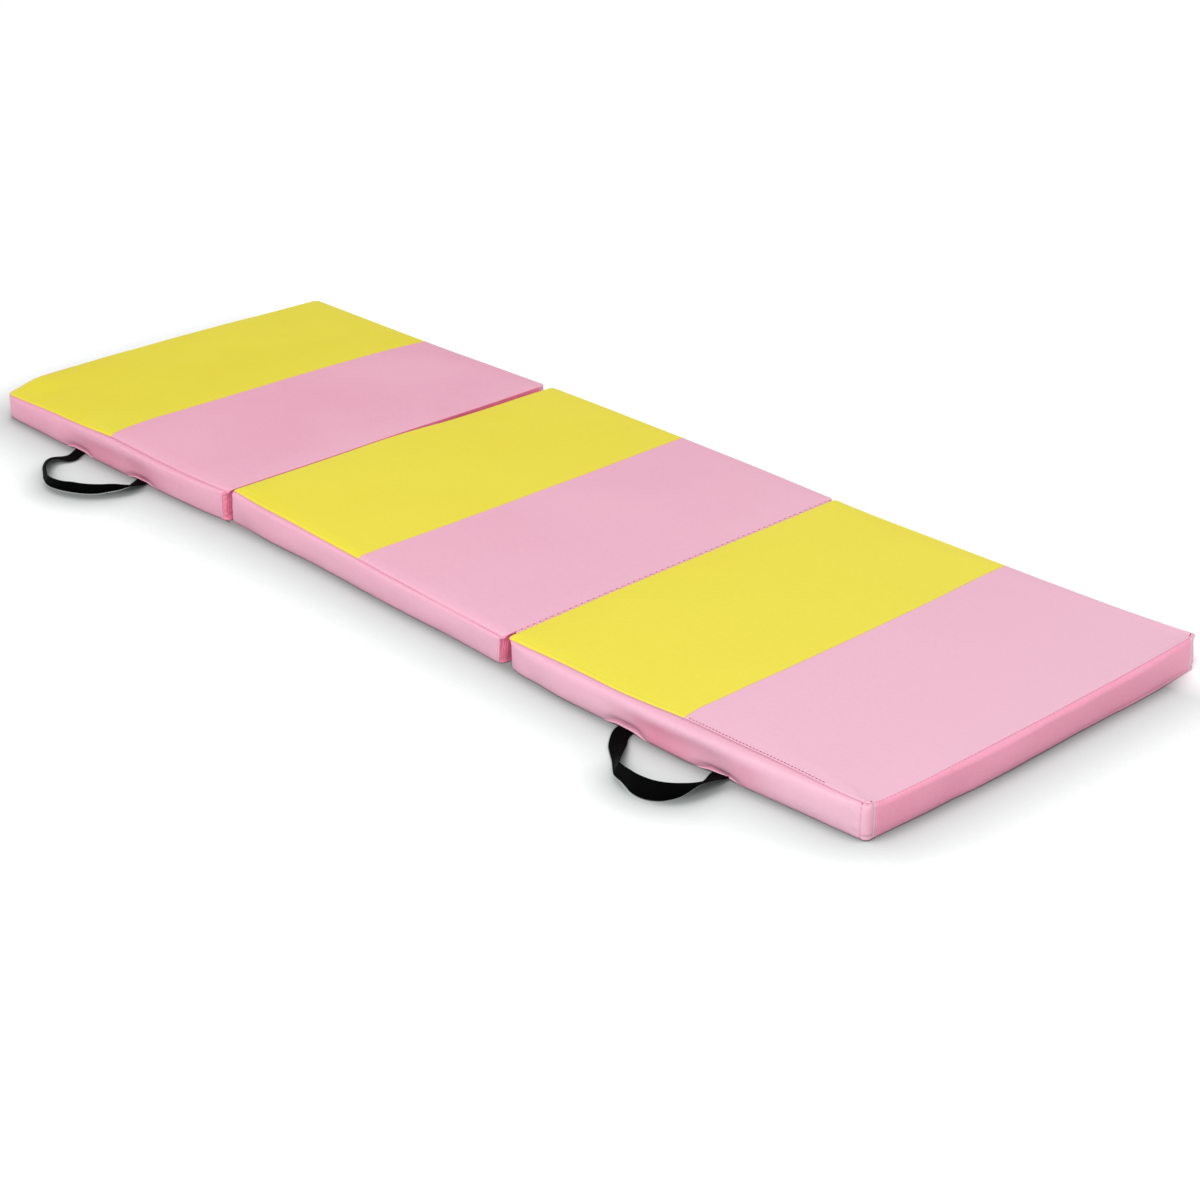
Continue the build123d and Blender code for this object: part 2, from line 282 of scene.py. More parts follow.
def resample(P, N, pitch, start=0.0):
    """Points, tangents and normals every pitch mm along a polyline."""
    P, N = np.asarray(P, float), np.asarray(N, float)
    s = np.r_[0, np.cumsum(np.linalg.norm(np.diff(P, axis=0), axis=1))]
    t = np.arange(start, s[-1], pitch)
    at = np.stack([np.interp(t, s, P[:, k]) for k in range(3)], 1)
    nn = np.stack([np.interp(t, s, N[:, k]) for k in range(3)], 1)
    return t, at, nn / np.maximum(np.linalg.norm(nn, axis=1, keepdims=True), 1e-9)


class Thread:
    """Collects stitches of one colour on one panel into one mesh."""

    def __init__(self):
        self.A, self.B, self.S, self.U = [], [], [], []

    def row(self, P, N, pitch=5.0, length=3.8, lift=0.05, margin=3.0):
        t, at, nn = resample(P, N, 0.5)
        if len(t) < 20:
            return
        total = t[-1]
        starts = np.arange(margin, total - margin - length, pitch)
        if not len(starts):
            return
        pick = lambda arr, s: np.stack([np.interp(s, t, arr[:, k]) for k in range(3)], 1)
        a, b = pick(at, starts), pick(at, starts + length)
        u = pick(nn, starts + length / 2)
        u /= np.linalg.norm(u, axis=1, keepdims=True)
        d = (b - a) / np.linalg.norm(b - a, axis=1, keepdims=True)
        s = np.cross(u, d)
        s /= np.linalg.norm(s, axis=1, keepdims=True)
        self.A.append(a + u * lift)
        self.B.append(b + u * lift)
        self.S.append(s)
        self.U.append(np.cross(d, s))

    def build(self, name, mat, r=0.3, sag=0.35):
        return capsules(
            name, np.concatenate(self.A), np.concatenate(self.B), np.concatenate(self.S), np.concatenate(self.U),
            r, r * 0.85, mat, sag=sag,
        )


# ------------------------------------------------------------------ materials
def rgb(r, g, b):
    f = lambda c: c / 255 / 12.92 if c / 255 <= 0.04045 else ((c / 255 + 0.055) / 1.055) ** 2.4
    return (f(r), f(g), f(b), 1.0)


class Mat:
    def __init__(self, name):
        self.m = bpy.data.materials.new(name)
        self.m.use_nodes = True
        self.nt = self.m.node_tree
        self.b = self.nt.nodes["Principled BSDF"]
        self.co = self.nt.nodes.new("ShaderNodeTexCoord")

    def node(self, kind, **kw):
        n = self.nt.nodes.new(kind)
        for k, v in kw.items():
            if k.startswith("in_"):
                n.inputs[k[3:].replace("_", " ")].default_value = v
            else:
                setattr(n, k, v)
        return n

    def link(self, a, b):
        self.nt.links.new(a, b)

    def noise(self, scale, detail=2.0, rough=0.5, coord=None, distortion=0.0):
        n = self.node("ShaderNodeTexNoise")
        n.inputs["Scale"].default_value = scale
        n.inputs["Detail"].default_value = detail
        n.inputs["Roughness"].default_value = rough
        n.inputs["Distortion"].default_value = distortion
        self.link(coord or self.co.outputs["Object"], n.inputs["Vector"])
        return n.outputs["Fac"]

    def remap(self, v, lo, hi, a=0.0, b=1.0):
        n = self.node("ShaderNodeMapRange")
        n.inputs["From Min"].default_value = a
        n.inputs["From Max"].default_value = b
        n.inputs["To Min"].default_value = lo
        n.inputs["To Max"].default_value = hi
        self.link(v, n.inputs["Value"])
        return n.outputs["Result"]

    def math(self, op, a, b):
        n = self.node("ShaderNodeMath", operation=op)
        for k, v in enumerate((a, b)):
            if isinstance(v, (int, float)):
                n.inputs[k].default_value = v
            else:
                self.link(v, n.inputs[k])
        return n.outputs[0]

    def mix(self, fac, a, b):
        n = self.node("ShaderNodeMix", data_type="RGBA")
        for k, v in ((0, fac), (6, a), (7, b)):
            if isinstance(v, (int, float, tuple)):
                n.inputs[k].default_value = v
            else:
                self.link(v, n.inputs[k])
        return n.outputs[2]

    def bump(self, height, strength, distance, normal=None):
        n = self.node("ShaderNodeBump")
        n.inputs["Strength"].default_value = strength
        n.inputs["Distance"].default_value = distance
        self.link(height, n.inputs["Height"])
        if normal is not None:
            self.link(normal, n.inputs["Normal"])
        return n.outputs["Normal"]


def cover_material(name, base, deep, pale, fold, crease_shade_amount=1.0, far=None):
    """Coated fabric: pebbled grain, soft show-through of the foam and paler on its ridges. It has painted shade: a
    deeper, richer colour in occluded creases and where the mesh's shade weights say. When far is given, it has a
    painted highlight that turns it paler towards +x.
    """
    k = Mat(name)
    broad = k.noise(5.0, 3.0, 0.5)
    fine = k.noise(170.0, 3.0, 0.6)
    c = k.mix(k.remap(broad, 0.0, 1.0, 0.38, 0.66), base, deep)
    # painted highlight: towards +x the colour turns paler, standing in for a soft sheen from the lamps
    if far is not None:
        xyz = k.node("ShaderNodeSeparateXYZ")
        k.link(k.co.outputs["Object"], xyz.inputs[0])
        c = k.mix(k.remap(xyz.outputs["X"], 0.0, 1.0, -0.75, 0.95), c, far)
    c = k.mix(k.math("MULTIPLY", k.remap(fine, 0.0, 1.0, 0.35, 0.75), 0.16), c, pale)
    geo = k.node("ShaderNodeNewGeometry")
    edge = k.remap(geo.outputs["Pointiness"], 0.0, 0.35, 0.52, 0.60)
    c = k.mix(edge, c, pale)
    # painted shade: occluded creases take the deeper fold colour, standing in for shade and pink inter-reflection
    ao = k.node("ShaderNodeAmbientOcclusion", samples=4, only_local=True)
    ao.inputs["Distance"].default_value = 0.012
    c = k.mix(k.remap(ao.outputs["AO"], 0.8 * crease_shade_amount, 0.0, 0.1, 0.8), c, fold)
    # painted shade: the per-point weights stored on the mesh pull the colour towards the deeper fold colour in hollows,
    # seam lines and corner rows
    rich = k.node("ShaderNodeAttribute", attribute_name="rich")
    c = k.mix(k.math("MULTIPLY", rich.outputs["Fac"], 0.62), c, fold)
    k.link(c, k.b.inputs["Base Color"])
    # grain: cells of about 0.9 mm with finer creases between
    v = k.node("ShaderNodeTexVoronoi", feature="SMOOTH_F1")
    v.inputs["Scale"].default_value = 1050.0
    v.inputs["Randomness"].default_value = 1.0
    k.link(k.co.outputs["Object"], v.inputs["Vector"])
    grain = k.math("ADD", k.math("MULTIPLY", v.outputs["Distance"], 0.7), k.math("MULTIPLY", k.noise(2600.0, 2.0), 0.3))
    n1 = k.bump(k.noise(38.0, 3.0, 0.55), 0.16, 0.0012)
    n2 = k.bump(fine, 0.14, 0.0003, n1)
    n3 = k.bump(grain, 0.22, 0.00012, n2)
    k.link(n3, k.b.inputs["Normal"])
    rough = k.math("ADD", k.remap(broad, 0.42, 0.52), k.remap(fine, -0.04, 0.06))
    k.link(rough, k.b.inputs["Roughness"])
    k.b.inputs["Specular IOR Level"].default_value = 0.30
    return k.m


def thread_material(name, colour):
    k = Mat(name)
    n = k.noise(900.0, 2.0)
    k.link(k.mix(k.remap(n, 0.0, 0.5), colour, tuple(min(1, x * 1.5) for x in colour[:3]) + (1,)), k.b.inputs["Base Color"])
    w = k.node("ShaderNodeTexWave", wave_type="BANDS", bands_direction="DIAGONAL")
    w.inputs["Scale"].default_value = 1500.0
    k.link(k.co.outputs["Object"], w.inputs["Vector"])
    k.link(k.bump(w.outputs["Fac"], 0.5, 0.0001), k.b.inputs["Normal"])
    k.b.inputs["Roughness"].default_value = 0.62
    k.b.inputs["Sheen Weight"].default_value = 0.2
    return k.m


def webbing_material():
    k = Mat("black_webbing")
    n = k.noise(600.0, 3.0, 0.6)
    k.link(k.mix(k.remap(n, 0.0, 1.0, 0.3, 0.8), (0.0006, 0.0006, 0.0007, 1), (0.0022, 0.0022, 0.0025, 1)), k.b.inputs["Base Color"])
    k.link(k.bump(n, 0.4, 0.0001), k.b.inputs["Normal"])
    k.link(k.remap(n, 0.55, 0.8), k.b.inputs["Roughness"])
    k.b.inputs["Specular IOR Level"].default_value = 0.02
    return k.m


def foam_material():
    k = Mat("foam")
    n = k.noise(90.0, 4.0, 0.6)
    k.link(k.mix(n, rgb(236, 236, 230), rgb(214, 214, 206)), k.b.inputs["Base Color"])
    v = k.node("ShaderNodeTexVoronoi")
    v.inputs["Scale"].default_value = 700.0
    k.link(k.co.outputs["Object"], v.inputs["Vector"])
    k.link(k.bump(v.outputs["Distance"], 0.6, 0.0006), k.b.inputs["Normal"])
    k.b.inputs["Roughness"].default_value = 0.85
    return k.m


def tape_material():
    k = Mat("zip_tape")
    w = k.node("ShaderNodeTexWave", wave_type="BANDS", bands_direction="DIAGONAL")
    w.inputs["Scale"].default_value = 700.0
    w.inputs["Distortion"].default_value = 0.6
    k.link(k.co.outputs["Object"], w.inputs["Vector"])
    k.link(k.mix(w.outputs["Fac"], rgb(214, 140, 165), rgb(228, 158, 181)), k.b.inputs["Base Color"])
    k.link(k.bump(w.outputs["Fac"], 0.6, 0.0002), k.b.inputs["Normal"])
    k.b.inputs["Roughness"].default_value = 0.8
    k.b.inputs["Sheen Weight"].default_value = 0.3
    return k.m


def coil_material():
    k = Mat("zip_coil")
    n = k.noise(500.0, 2.0)
    k.link(k.mix(n, rgb(205, 122, 150), rgb(222, 146, 170)), k.b.inputs["Base Color"])
    k.link(k.remap(n, 0.25, 0.4), k.b.inputs["Roughness"])
    return k.m


def metal_material():
    k = Mat("zip_nickel")
    n = k.noise(260.0, 4.0, 0.6)
    s = k.node("ShaderNodeMapping")
    s.inputs["Scale"].default_value = (60.0, 1500.0, 1500.0)
    k.link(k.co.outputs["Object"], s.inputs["Vector"])
    brushed = k.noise(1.0, 2.0, 0.5, s.outputs["Vector"])
    k.link(k.mix(n, (0.60, 0.60, 0.62, 1), (0.72, 0.72, 0.73, 1)), k.b.inputs["Base Color"])
    k.link(k.remap(brushed, 0.22, 0.42), k.b.inputs["Roughness"])
    k.link(k.bump(brushed, 0.15, 0.00005), k.b.inputs["Normal"])
    k.b.inputs["Metallic"].default_value = 1.0
    return k.m


# the far colours paint a highlight: the yellow and pink tops turn paler towards +x
YELLOW = cover_material("yellow_cover", rgb(220, 206, 34), rgb(217, 201, 28), rgb(236, 224, 92), rgb(205, 182, 20), 0.4, far=rgb(222, 208, 64))
PINK = cover_material("pink_cover", rgb(222, 158, 180), rgb(218, 150, 174), rgb(238, 190, 207), rgb(214, 96, 132), far=rgb(220, 172, 190))
# painted shade: a deeper copy of the pink cover for the right panel's end wall, standing in for that side lying in
# shade
PINK_SHADED_END = cover_material("pink_cover_shaded_end", rgb(229, 150, 176), rgb(225, 142, 169), rgb(238, 182, 202), rgb(208, 94, 130))
# painted shade: a deeper copy of the pink cover, with a dark red fold colour, for the walls that face into the joint
# gaps
PINK_GAP_SHADE = cover_material("pink_cover_gap_shade", rgb(236, 134, 164), rgb(226, 112, 146), rgb(248, 184, 204), rgb(186, 28, 66), 1.1)
THREAD_PINK = thread_material("thread_pink", rgb(196, 104, 134))
THREAD_ROSE = thread_material("thread_rose", rgb(150, 52, 84))
THREAD_RED = thread_material("thread_red", rgb(120, 20, 38))
WEB = webbing_material()
FOAM = foam_material()
TAPE_M = tape_material()
COIL_M = coil_material()
METAL = metal_material()

# ------------------------------------------------------------------ the cover's shape (mm)
NEAR = [0, 1.6, 3.6, 6.2, 9.6, 14.0, 20.0, 29.0, 40.0]
ROWS = np.array([0, 1.2, 2.8, 5.4, 9.5, 14.5, 21.5, 28.5, 33.5, 37.5, 40.4, 42.0, 43.0]) / 43.0

# height of the top edge along the mat: front, middle and back of its width
H_X = [-914.5, -868, -780, -692, -621, -480, -350, -305.5, -262, -150, 60, 230, 306.5, 390, 560, 760, 880, 914.5]
H_F = [37.5, 40.0, 43.4, 44.6, 46.4, 45.6, 47.2, 48.4, 47.2, 45.6, 43.6, 43.2, 42.4, 42.2, 42.2, 42.8, 43.6, 45.8]
H_M = [46.2, 46.2, 46.0, 45.6, 45.4, 45.4, 47.2, 48.0, 48.0, 46.6, 45.0, 44.2, 43.9, 43.2, 42.4, 42.0, 42.0, 42.2]
H_B = [44.6, 45.0, 45.2, 45.2, 45.2, 45.8, 47.0, 47.6, 47.8, 47.6, 46.0, 44.6, 44.0, 43.2, 42.4, 42.4, 43.5, 44.8]
CROWN = {"left": 1.3, "middle": 1.0, "right": 1.2}


def edge_height(x, y):
    end = ease(x, [-900, -820], [1, 0])
    wf = ease(y, [-305, -110], [1, 0]) * (1 - end) + ease(y, [-309, -245], [1, 0]) * end
    wb = ease(y, [60, 305], [0, 1])
    h = lambda v: curve(x, list(zip(H_X, v)))
    return wf * h(H_F) + (1 - wf - wb) * h(H_M) + wb * h(H_B)


TOP_FRONT = {
    "left": [(-914.5, 312.0), (-868, 313.0), (-780, 311.8), (-692, 310.0), (-621, 306.0), (-560, 305.5), (-400, 305.5), (-309.5, 303.5)],
    "middle": [(-316, 296.0), (-244, 298.0), (-172, 299.0), (-99, 301.5), (-28, 304.0), (60, 307.5), (200, 312.5), (303.5, 315.5)],
    "right": [(309.5, 314.0), (352, 313.4), (407, 312.2), (462, 312.6), (517, 313.2), (566, 309.6), (614, 305.0), (700, 303.0), (800, 301.0), (914.5, 302.5)],
}
BOT_FRONT = {
    "left": [(-914.5, 312.5), (-887, 316.0), (-833, 316.6), (-673, 316.6), (-560, 316.0), (-483, 314.5), (-393, 312.0), (-350, 309.5), (-309.5, 306.0)],
    "middle": [(-312, 302.0), (-273, 302.2), (-224, 304.8), (-139, 305.3), (-54, 307.0), (30, 311.0), (110, 312.8), (184, 313.3), (261, 316.0), (303.5, 318.0)],
    "right": [(309.5, 312.0), (335, 318.5), (369, 320.0), (409, 323.0), (507, 323.5), (571, 324.5), (633, 324.5), (689, 321.5), (744, 318.0), (797, 314.5), (850, 311.0), (914.5, 307.5)],
}
TOP_BACK = [(-914.5, 309.0), (-843, 308.5), (-677, 308.5), (-523, 310.0), (-453, 311.5), (-310, 312.5), (-173, 313.2), (-101, 313.0), (30, 313.0), (157, 312.0),
            (280, 308.7), (341, 307.0), (505, 308.5), (700, 310.3), (800, 311.8), (860, 314.4), (914.5, 316.0)]
ROLL = {  # how far the top sheet turns down over the front edge before its seam
    "left": [(-914.5, 2.2), (-660, 2.0), (-560, 3.0), (-309.5, 3.2)],
    "middle": [(-316, 1.4), (-250, 2.4), (-172, 2.8), (0, 3.2), (200, 4.4), (303.5, 4.8)],
    "right": [(309.5, 3.4), (352, 2.4), (430, 1.2), (600, 0.4), (914.5, 0.6)],
}
RAD_T = {"left": (8.5, 2.4, 11.0, 10.0), "middle": (2.8, 5.0, 9.0, 5.0), "right": (4.0, 6.0, 7.0, 5.0)}
RAD_B = {"left": (6.0, 6.0, 11.0, 9.0), "middle": (4.0, 11.0, 8.0, 8.0), "right": (7.0, 6.5, 8.0, 6.0)}
# which step of NEAR each panel's front side ends at, before (-) or past (+) its left and right corners
CUT = {"left": (5, -4), "middle": (-1, -2), "right": (-1, 5)}
SEAM_AT = 5

SPAN = {  # left and right limits of each panel from front (0) to back (1), for its top and its underside
    "left": (
        [(0, -908), (0.03, -912.5), (0.08, -916.5), (0.13, -918.5), (0.2, -920), (0.27, -921), (0.34, -922), (0.42, -920.5), (0.52, -920.5), (0.62, -918.5), (0.72, -917), (0.8, -914.5), (0.92, -913), (1, -911)],
        [(0, -313.3), (0.05, -314.3), (0.3, -314.6), (0.46, -316.0), (0.56, -316.0), (0.64, -314.5), (0.75, -313.5), (1, -313.6)],
        [(0, -903), (0.1, -910), (0.3, -917), (0.6, -917), (0.9, -912), (1, -910)],
        [(0, -317.0), (0.025, -316.0), (0.06, -310.0), (0.1, -309.5), (1, -309.5)],
    ),
    "middle": (
        [(0, -312.4), (0.3, -312.2), (0.48, -313.2), (0.56, -310.0), (0.64, -304.5), (0.74, -301.6), (0.9, -300.6), (1, -299.0)],
        [(0, 305.2), (1, 305.2)],
        [(0, -310.5), (0.025, -309.0), (0.06, -302.0), (0.1, -301.5), (1, -301.5)],
        [(0, 300.0), (0.1, 301.5), (1, 302.5)],
    ),
    "right": (
        [(0, 309.0), (0.1, 308.2), (0.3, 307.8), (1, 307.8)],
        [(0, 904.5), (0.06, 907), (0.11, 909.3), (0.16, 911), (0.27, 911.3), (0.39, 912.2), (0.5, 913.3), (0.62, 913.5), (0.75, 914.6), (0.9, 914.6), (1, 913.5)],
        [(0, 314.5), (0.04, 313.0), (0.1, 311.5), (1, 310.5)],
        [(0, 908), (0.065, 910.5), (0.12, 912.3), (0.17, 913.7), (0.23, 915.2), (0.28, 917.5), (0.34, 919), (0.5, 919.6), (0.7, 920), (0.78, 921.3), (0.84, 921.3), (0.91, 920.3), (1, 918.5)],
    ),
}
SPLIT_OFF = {  # how the colour seam wanders from its straight line, front to back
    "left": [(0, -7), (0.03, -12), (0.1, -17.5), (0.25, -17.5), (0.4, -16), (0.6, -14), (0.75, -11), (0.9, -5), (1, 2)],
    "middle": [(0, -12), (0.07, -11), (0.15, -8), (0.25, -5.5), (0.5, -4), (0.8, -3), (1, -4)],
    "right": [(0, -1), (0.04, -4.2), (0.1, -3.4), (0.17, -2.8), (0.25, -1.4), (0.4, 0), (0.7, 0.5), (0.9, -2.0), (1, -2.5)],
}


def x_span(n, t, top):
    s = SPAN[n][:2] if top else SPAN[n][2:]
    return curve(t, s[0]), curve(t, s[1]) + (1.3 if n == "right" and not top else 0)


def spread(total, marks=()):
    """Sample positions from 0 to total, close together at both ends and at the marks."""
    fixed = sorted(set(NEAR) | {total - v for v in NEAR} | {m + d for m in marks for d in (-4.5, -1.8, 0, 1.8, 4.5)})
    out = [fixed[0]]
    for a, b in zip(fixed, fixed[1:]):
        k = max(1, int(round((b - a) / 12.5)))
        out += [a + (b - a) * i / k for i in range(1, k + 1)]
    return np.array(out)


def outline(n, U, V, LU, LV, top):
    """Maps panel positions (U along x, V along y, in mm from the front left) into the sewn outline."""
    L, W = 604.0, 610.0
    a, b = U / LU * L, V / LV * W
    rad = RAD_T[n] if top else RAD_B[n]
    rfl, rfr, rbl, rbr = rad
    px, py = a.copy(), b.copy()
    for r, cx, cy, sx, sy in ((rfl, rfl, rfl, -1, -1), (rfr, L - rfr, rfr, 1, -1), (rbl, rbl, W - rbl, -1, 1), (rbr, L - rbr, W - rbr, 1, 1)):
        da, db = (a - cx) * sx, (b - cy) * sy
        inside = (da > 0) & (db > 0)
        m = np.maximum(da, db)
        h = np.maximum(np.hypot(da, db), 1e-9)
        px = np.where(inside, cx + sx * m * da / h, px)
        py = np.where(inside, cy + sy * m * db / h, py)
    t = py / W
    l, r = x_span(n, t, top)
    x = l + (r - l) * px / L
    s = (SPLIT[n] - X0[n]) / LU
    f = px / L
    # the colour seam sits at its own place whatever the ends do
    want = SPLIT[n] + curve(t, SPLIT_OFF[n])
    shift = want - (l + (r - l) * s)
    x = x + shift * np.where(f < s, ease(f, [0, s], [0, 1]), ease(f, [s, 1], [1, 0])) * (1 if top else 0)
    front = -curve(x, (TOP_FRONT if top else BOT_FRONT)[n]) - (0 if top else 1.1)
    back = curve(x, TOP_BACK) if top else 308.6 + 0 * x
    return x, front + (back - front) * t


HANDLE_X = {}
for n in ("left", "right"):
    a, b = cad(f"{n}_handle_sewn_tails")
    v = np.array([w.co for w in frame["nodes"][f"{n}_handle_sewn_tails"].data.vertices])[:, 0] * 1000
    mid = (a[0] + b[0]) / 2
    HANDLE_X[n] = ((v[v < mid].min() + v[v < mid].max()) / 2, (v[v > mid].min() + v[v > mid].max()) / 2)


def handle_pull(n, x, y, z, w):
    """The gusset's y once the handle has pulled it in: hollow between the ends, and clear of the webbing's swing."""
    if n not in HANDLE_X:
        return y
    a, b = HANDLE_X[n]
    between = ease(x, [a - 30, a + 25, b - 25, b + 30], [0, 1, 1, 0])
    y = y + w * (2.4 if n == "right" else 1.7) * between * np.exp(-(((z - 17 - 5 * (x - a) / (b - a)) / 11.0) ** 2))
    for c in (a, b):
        k = np.exp(-((np.clip(np.abs(x - c) - 11.0, 0, 99) / 20.0) ** 2)) * w
        lim = -((319.5 if n == "right" else 314.2) + 0.75 * np.clip(z - 4.0, 0, 99))
        soft = 0.5 * (y + lim + np.sqrt((y - lim) ** 2 + 9.0))
        y = y * (1 - k) + soft * k
    return y


TOPX = {"left": (X0["left"] + 1.0, FOLD1 - 5.0), "middle": (FOLD1 + 5.0, FOLD2 - 5.5), "right": (FOLD2 + 5.5, X1["right"] - 1.0)}


HANDLE_HOLLOW_SHADE = {  # painted shade: deeper colour where the handles draw the side in
    "left": [(-760, 0), (-700, 0.25), (-660, 0.6), (-610, 0.6), (-570, 0.45), (-540, 0.6), (-505, 0.5), (-470, 0.15), (-440, 0)],
    "right": [(495, 0), (540, 0.3), (566, 0.75), (592, 1.0), (625, 0.8), (660, 0.5), (695, 0.35), (735, 0.45), (775, 0.1), (800, 0)],
}


def front_crease_shade(n, x, z, dz):
    """How much painted shade deepens the front side's colour: hollows at the handles, and the seam lines."""
    r = 0.28 * np.exp(-((dz / 1.3) ** 2))
    if n in HANDLE_HOLLOW_SHADE:
        v = HANDLE_HOLLOW_SHADE[n]
        r = r + 0.85 * ease(x, [p[0] for p in v], [p[1] for p in v]) * ease(z, [0, 4, 25, 36], [0.5, 1, 0.9, 0])
    return np.clip(r, 0, 1)


class Panel:
    pass


def make_panel(n):
    p = Panel()
    p.n = n
    LU, LV = X1[n] - X0[n], BACK - FRONT
    p.split = SPLIT[n] - X0[n]
    tied = [c + d - X0[n] for c in HANDLE_X.get(n, ()) for d in (-16.5, 16.5)]
    p.u = spread(LU, [p.split] + tied)
    p.v = spread(LV)
    p.LU, p.LV = LU, LV
    U, V = np.meshgrid(p.u, p.v, indexing="ij")
    x, y = outline(n, U, V, LU, LV, True)
    d = np.minimum(np.minimum(U, LU - U), np.minimum(V, LV - V))
    z = edge_height(x, y) + CROWN[n] * (1 - np.exp(-d / 30.0))
    q = np.clip(V / 13.0, 0, 1)
    z = z - curve(x, ROLL[n]) * (1 - np.sqrt(np.clip(1 - (1 - q) ** 2, 0, 1)))
    q = np.clip(np.minimum(np.minimum(U, LU - U), LV - V) / 6.0, 0, 1)
    z = z - 1.0 * (1 - np.sqrt(np.clip(1 - (1 - q) ** 2, 0, 1)))
    p.top = np.stack([x, y, z], -1)
    x, y = outline(n, U, V, LU, LV, False)
    p.bot = np.stack([x, y, 0 * x + 0.05], -1)
    # boundary loop, counter-clockwise from the front left corner
    nu, nv = len(p.u), len(p.v)
    loop = [(i, 0) for i in range(nu - 1)] + [(nu - 1, j) for j in range(nv - 1)]
    loop += [(i, nv - 1) for i in range(nu - 1, 0, -1)] + [(0, j) for j in range(nv - 1, 0, -1)]
    p.loop = np.array(loop)
    li, lj = p.loop[:, 0], p.loop[:, 1]
    t, b = p.top[li, lj], p.bot[li, lj]
    p.s = np.r_[0, np.cumsum(np.linalg.norm(np.diff(t[:, :2], axis=0), axis=1))]
    p.period = p.s[-1] + np.linalg.norm(t[0, :2] - t[-1, :2])

    def outward(P):
        tan = np.roll(P, -1, 0)[:, :2] - np.roll(P, 1, 0)[:, :2]
        nor = np.stack([tan[:, 1], -tan[:, 0]], -1)
        return nor / np.linalg.norm(nor, axis=1, keepdims=True)

    nor = outward(b)
    uu, vv = p.u[li], p.v[lj]
    fx = 1 - np.abs(uu / LU * 2 - 1) ** 4
    fy = 1 - np.abs(vv / LV * 2 - 1) ** 4
    is_front = ease(vv, [0, 12], [1, 0])
    is_back = ease(vv, [LV - 14, LV - 2], [0, 1])
    is_left = ease(uu, [0, 12], [1, 0]) * (1 - is_front) * (1 - is_back)
    is_right = ease(uu, [LU - 12, LU], [0, 1]) * (1 - is_front) * (1 - is_back)
    free = (is_left if n == "left" else 0 * uu) + (is_right if n == "right" else 0 * uu)
    joint_side = is_left + is_right - free
    out = is_front * ((0.8 + 2.0 * fx) if n == "right" else (0.5 + 1.0 * fx)) + free * (0.8 + 1.8 * fy)
    f = ROWS[None, :, None]
    reach = (0.14 + (0.05 if n == "right" else 0.0) * is_front)[:, None, None]
    S = np.sqrt(np.clip(1 - (1 - np.clip(f / reach, 0, 1)) ** 2.3, 0, 1)) * (0.8 + 0.2 * f)
    low = np.clip((f - 0.5) / 0.5, 0, 1) ** 5
    T2, B2 = t[:, None, :2], b[:, None, :2]
    M2 = B2 + (nor * out[:, None])[:, None, :]
    round_side = T2 + (M2 - T2) * (S + (1 - S) * low) + (B2 - M2) * low
    straight = T2 + (B2 - T2) * f
    w = (joint_side + is_back)[:, None, None]
    G = np.zeros((len(t), len(ROWS), 3))
    G[..., :2] = round_side * (1 - w) + straight * w
    G[..., 2] = t[:, None, 2] * (1 - f[..., 0]) + 0.05 * f[..., 0]
    # the zipped back is held flat, and rows beside the zip opening sit exactly at its edges
    zb = G[..., 2]
    flat = is_back[:, None] * np.exp(-np.clip(np.abs(zb - ZIPZ) - 9.5, 0, 99) ** 2 / 14.0)
    G[..., 1] = G[..., 1] * (1 - flat) + (BACK - 0.05) * flat
    for k, zz in ((5, ZIPZ + WIN_HALF), (6, ZIPZ), (7, ZIPZ - WIN_HALF)):
        G[:, k, 2] = G[:, k, 2] * (1 - is_back) + zz * is_back
    p.gus = G
    p.nor, p.is_front, p.is_back, p.free, p.joint_side = nor, is_front, is_back, free, joint_side
    p.uu, p.vv = uu, vv
    p.walls = is_left, is_right
    return p


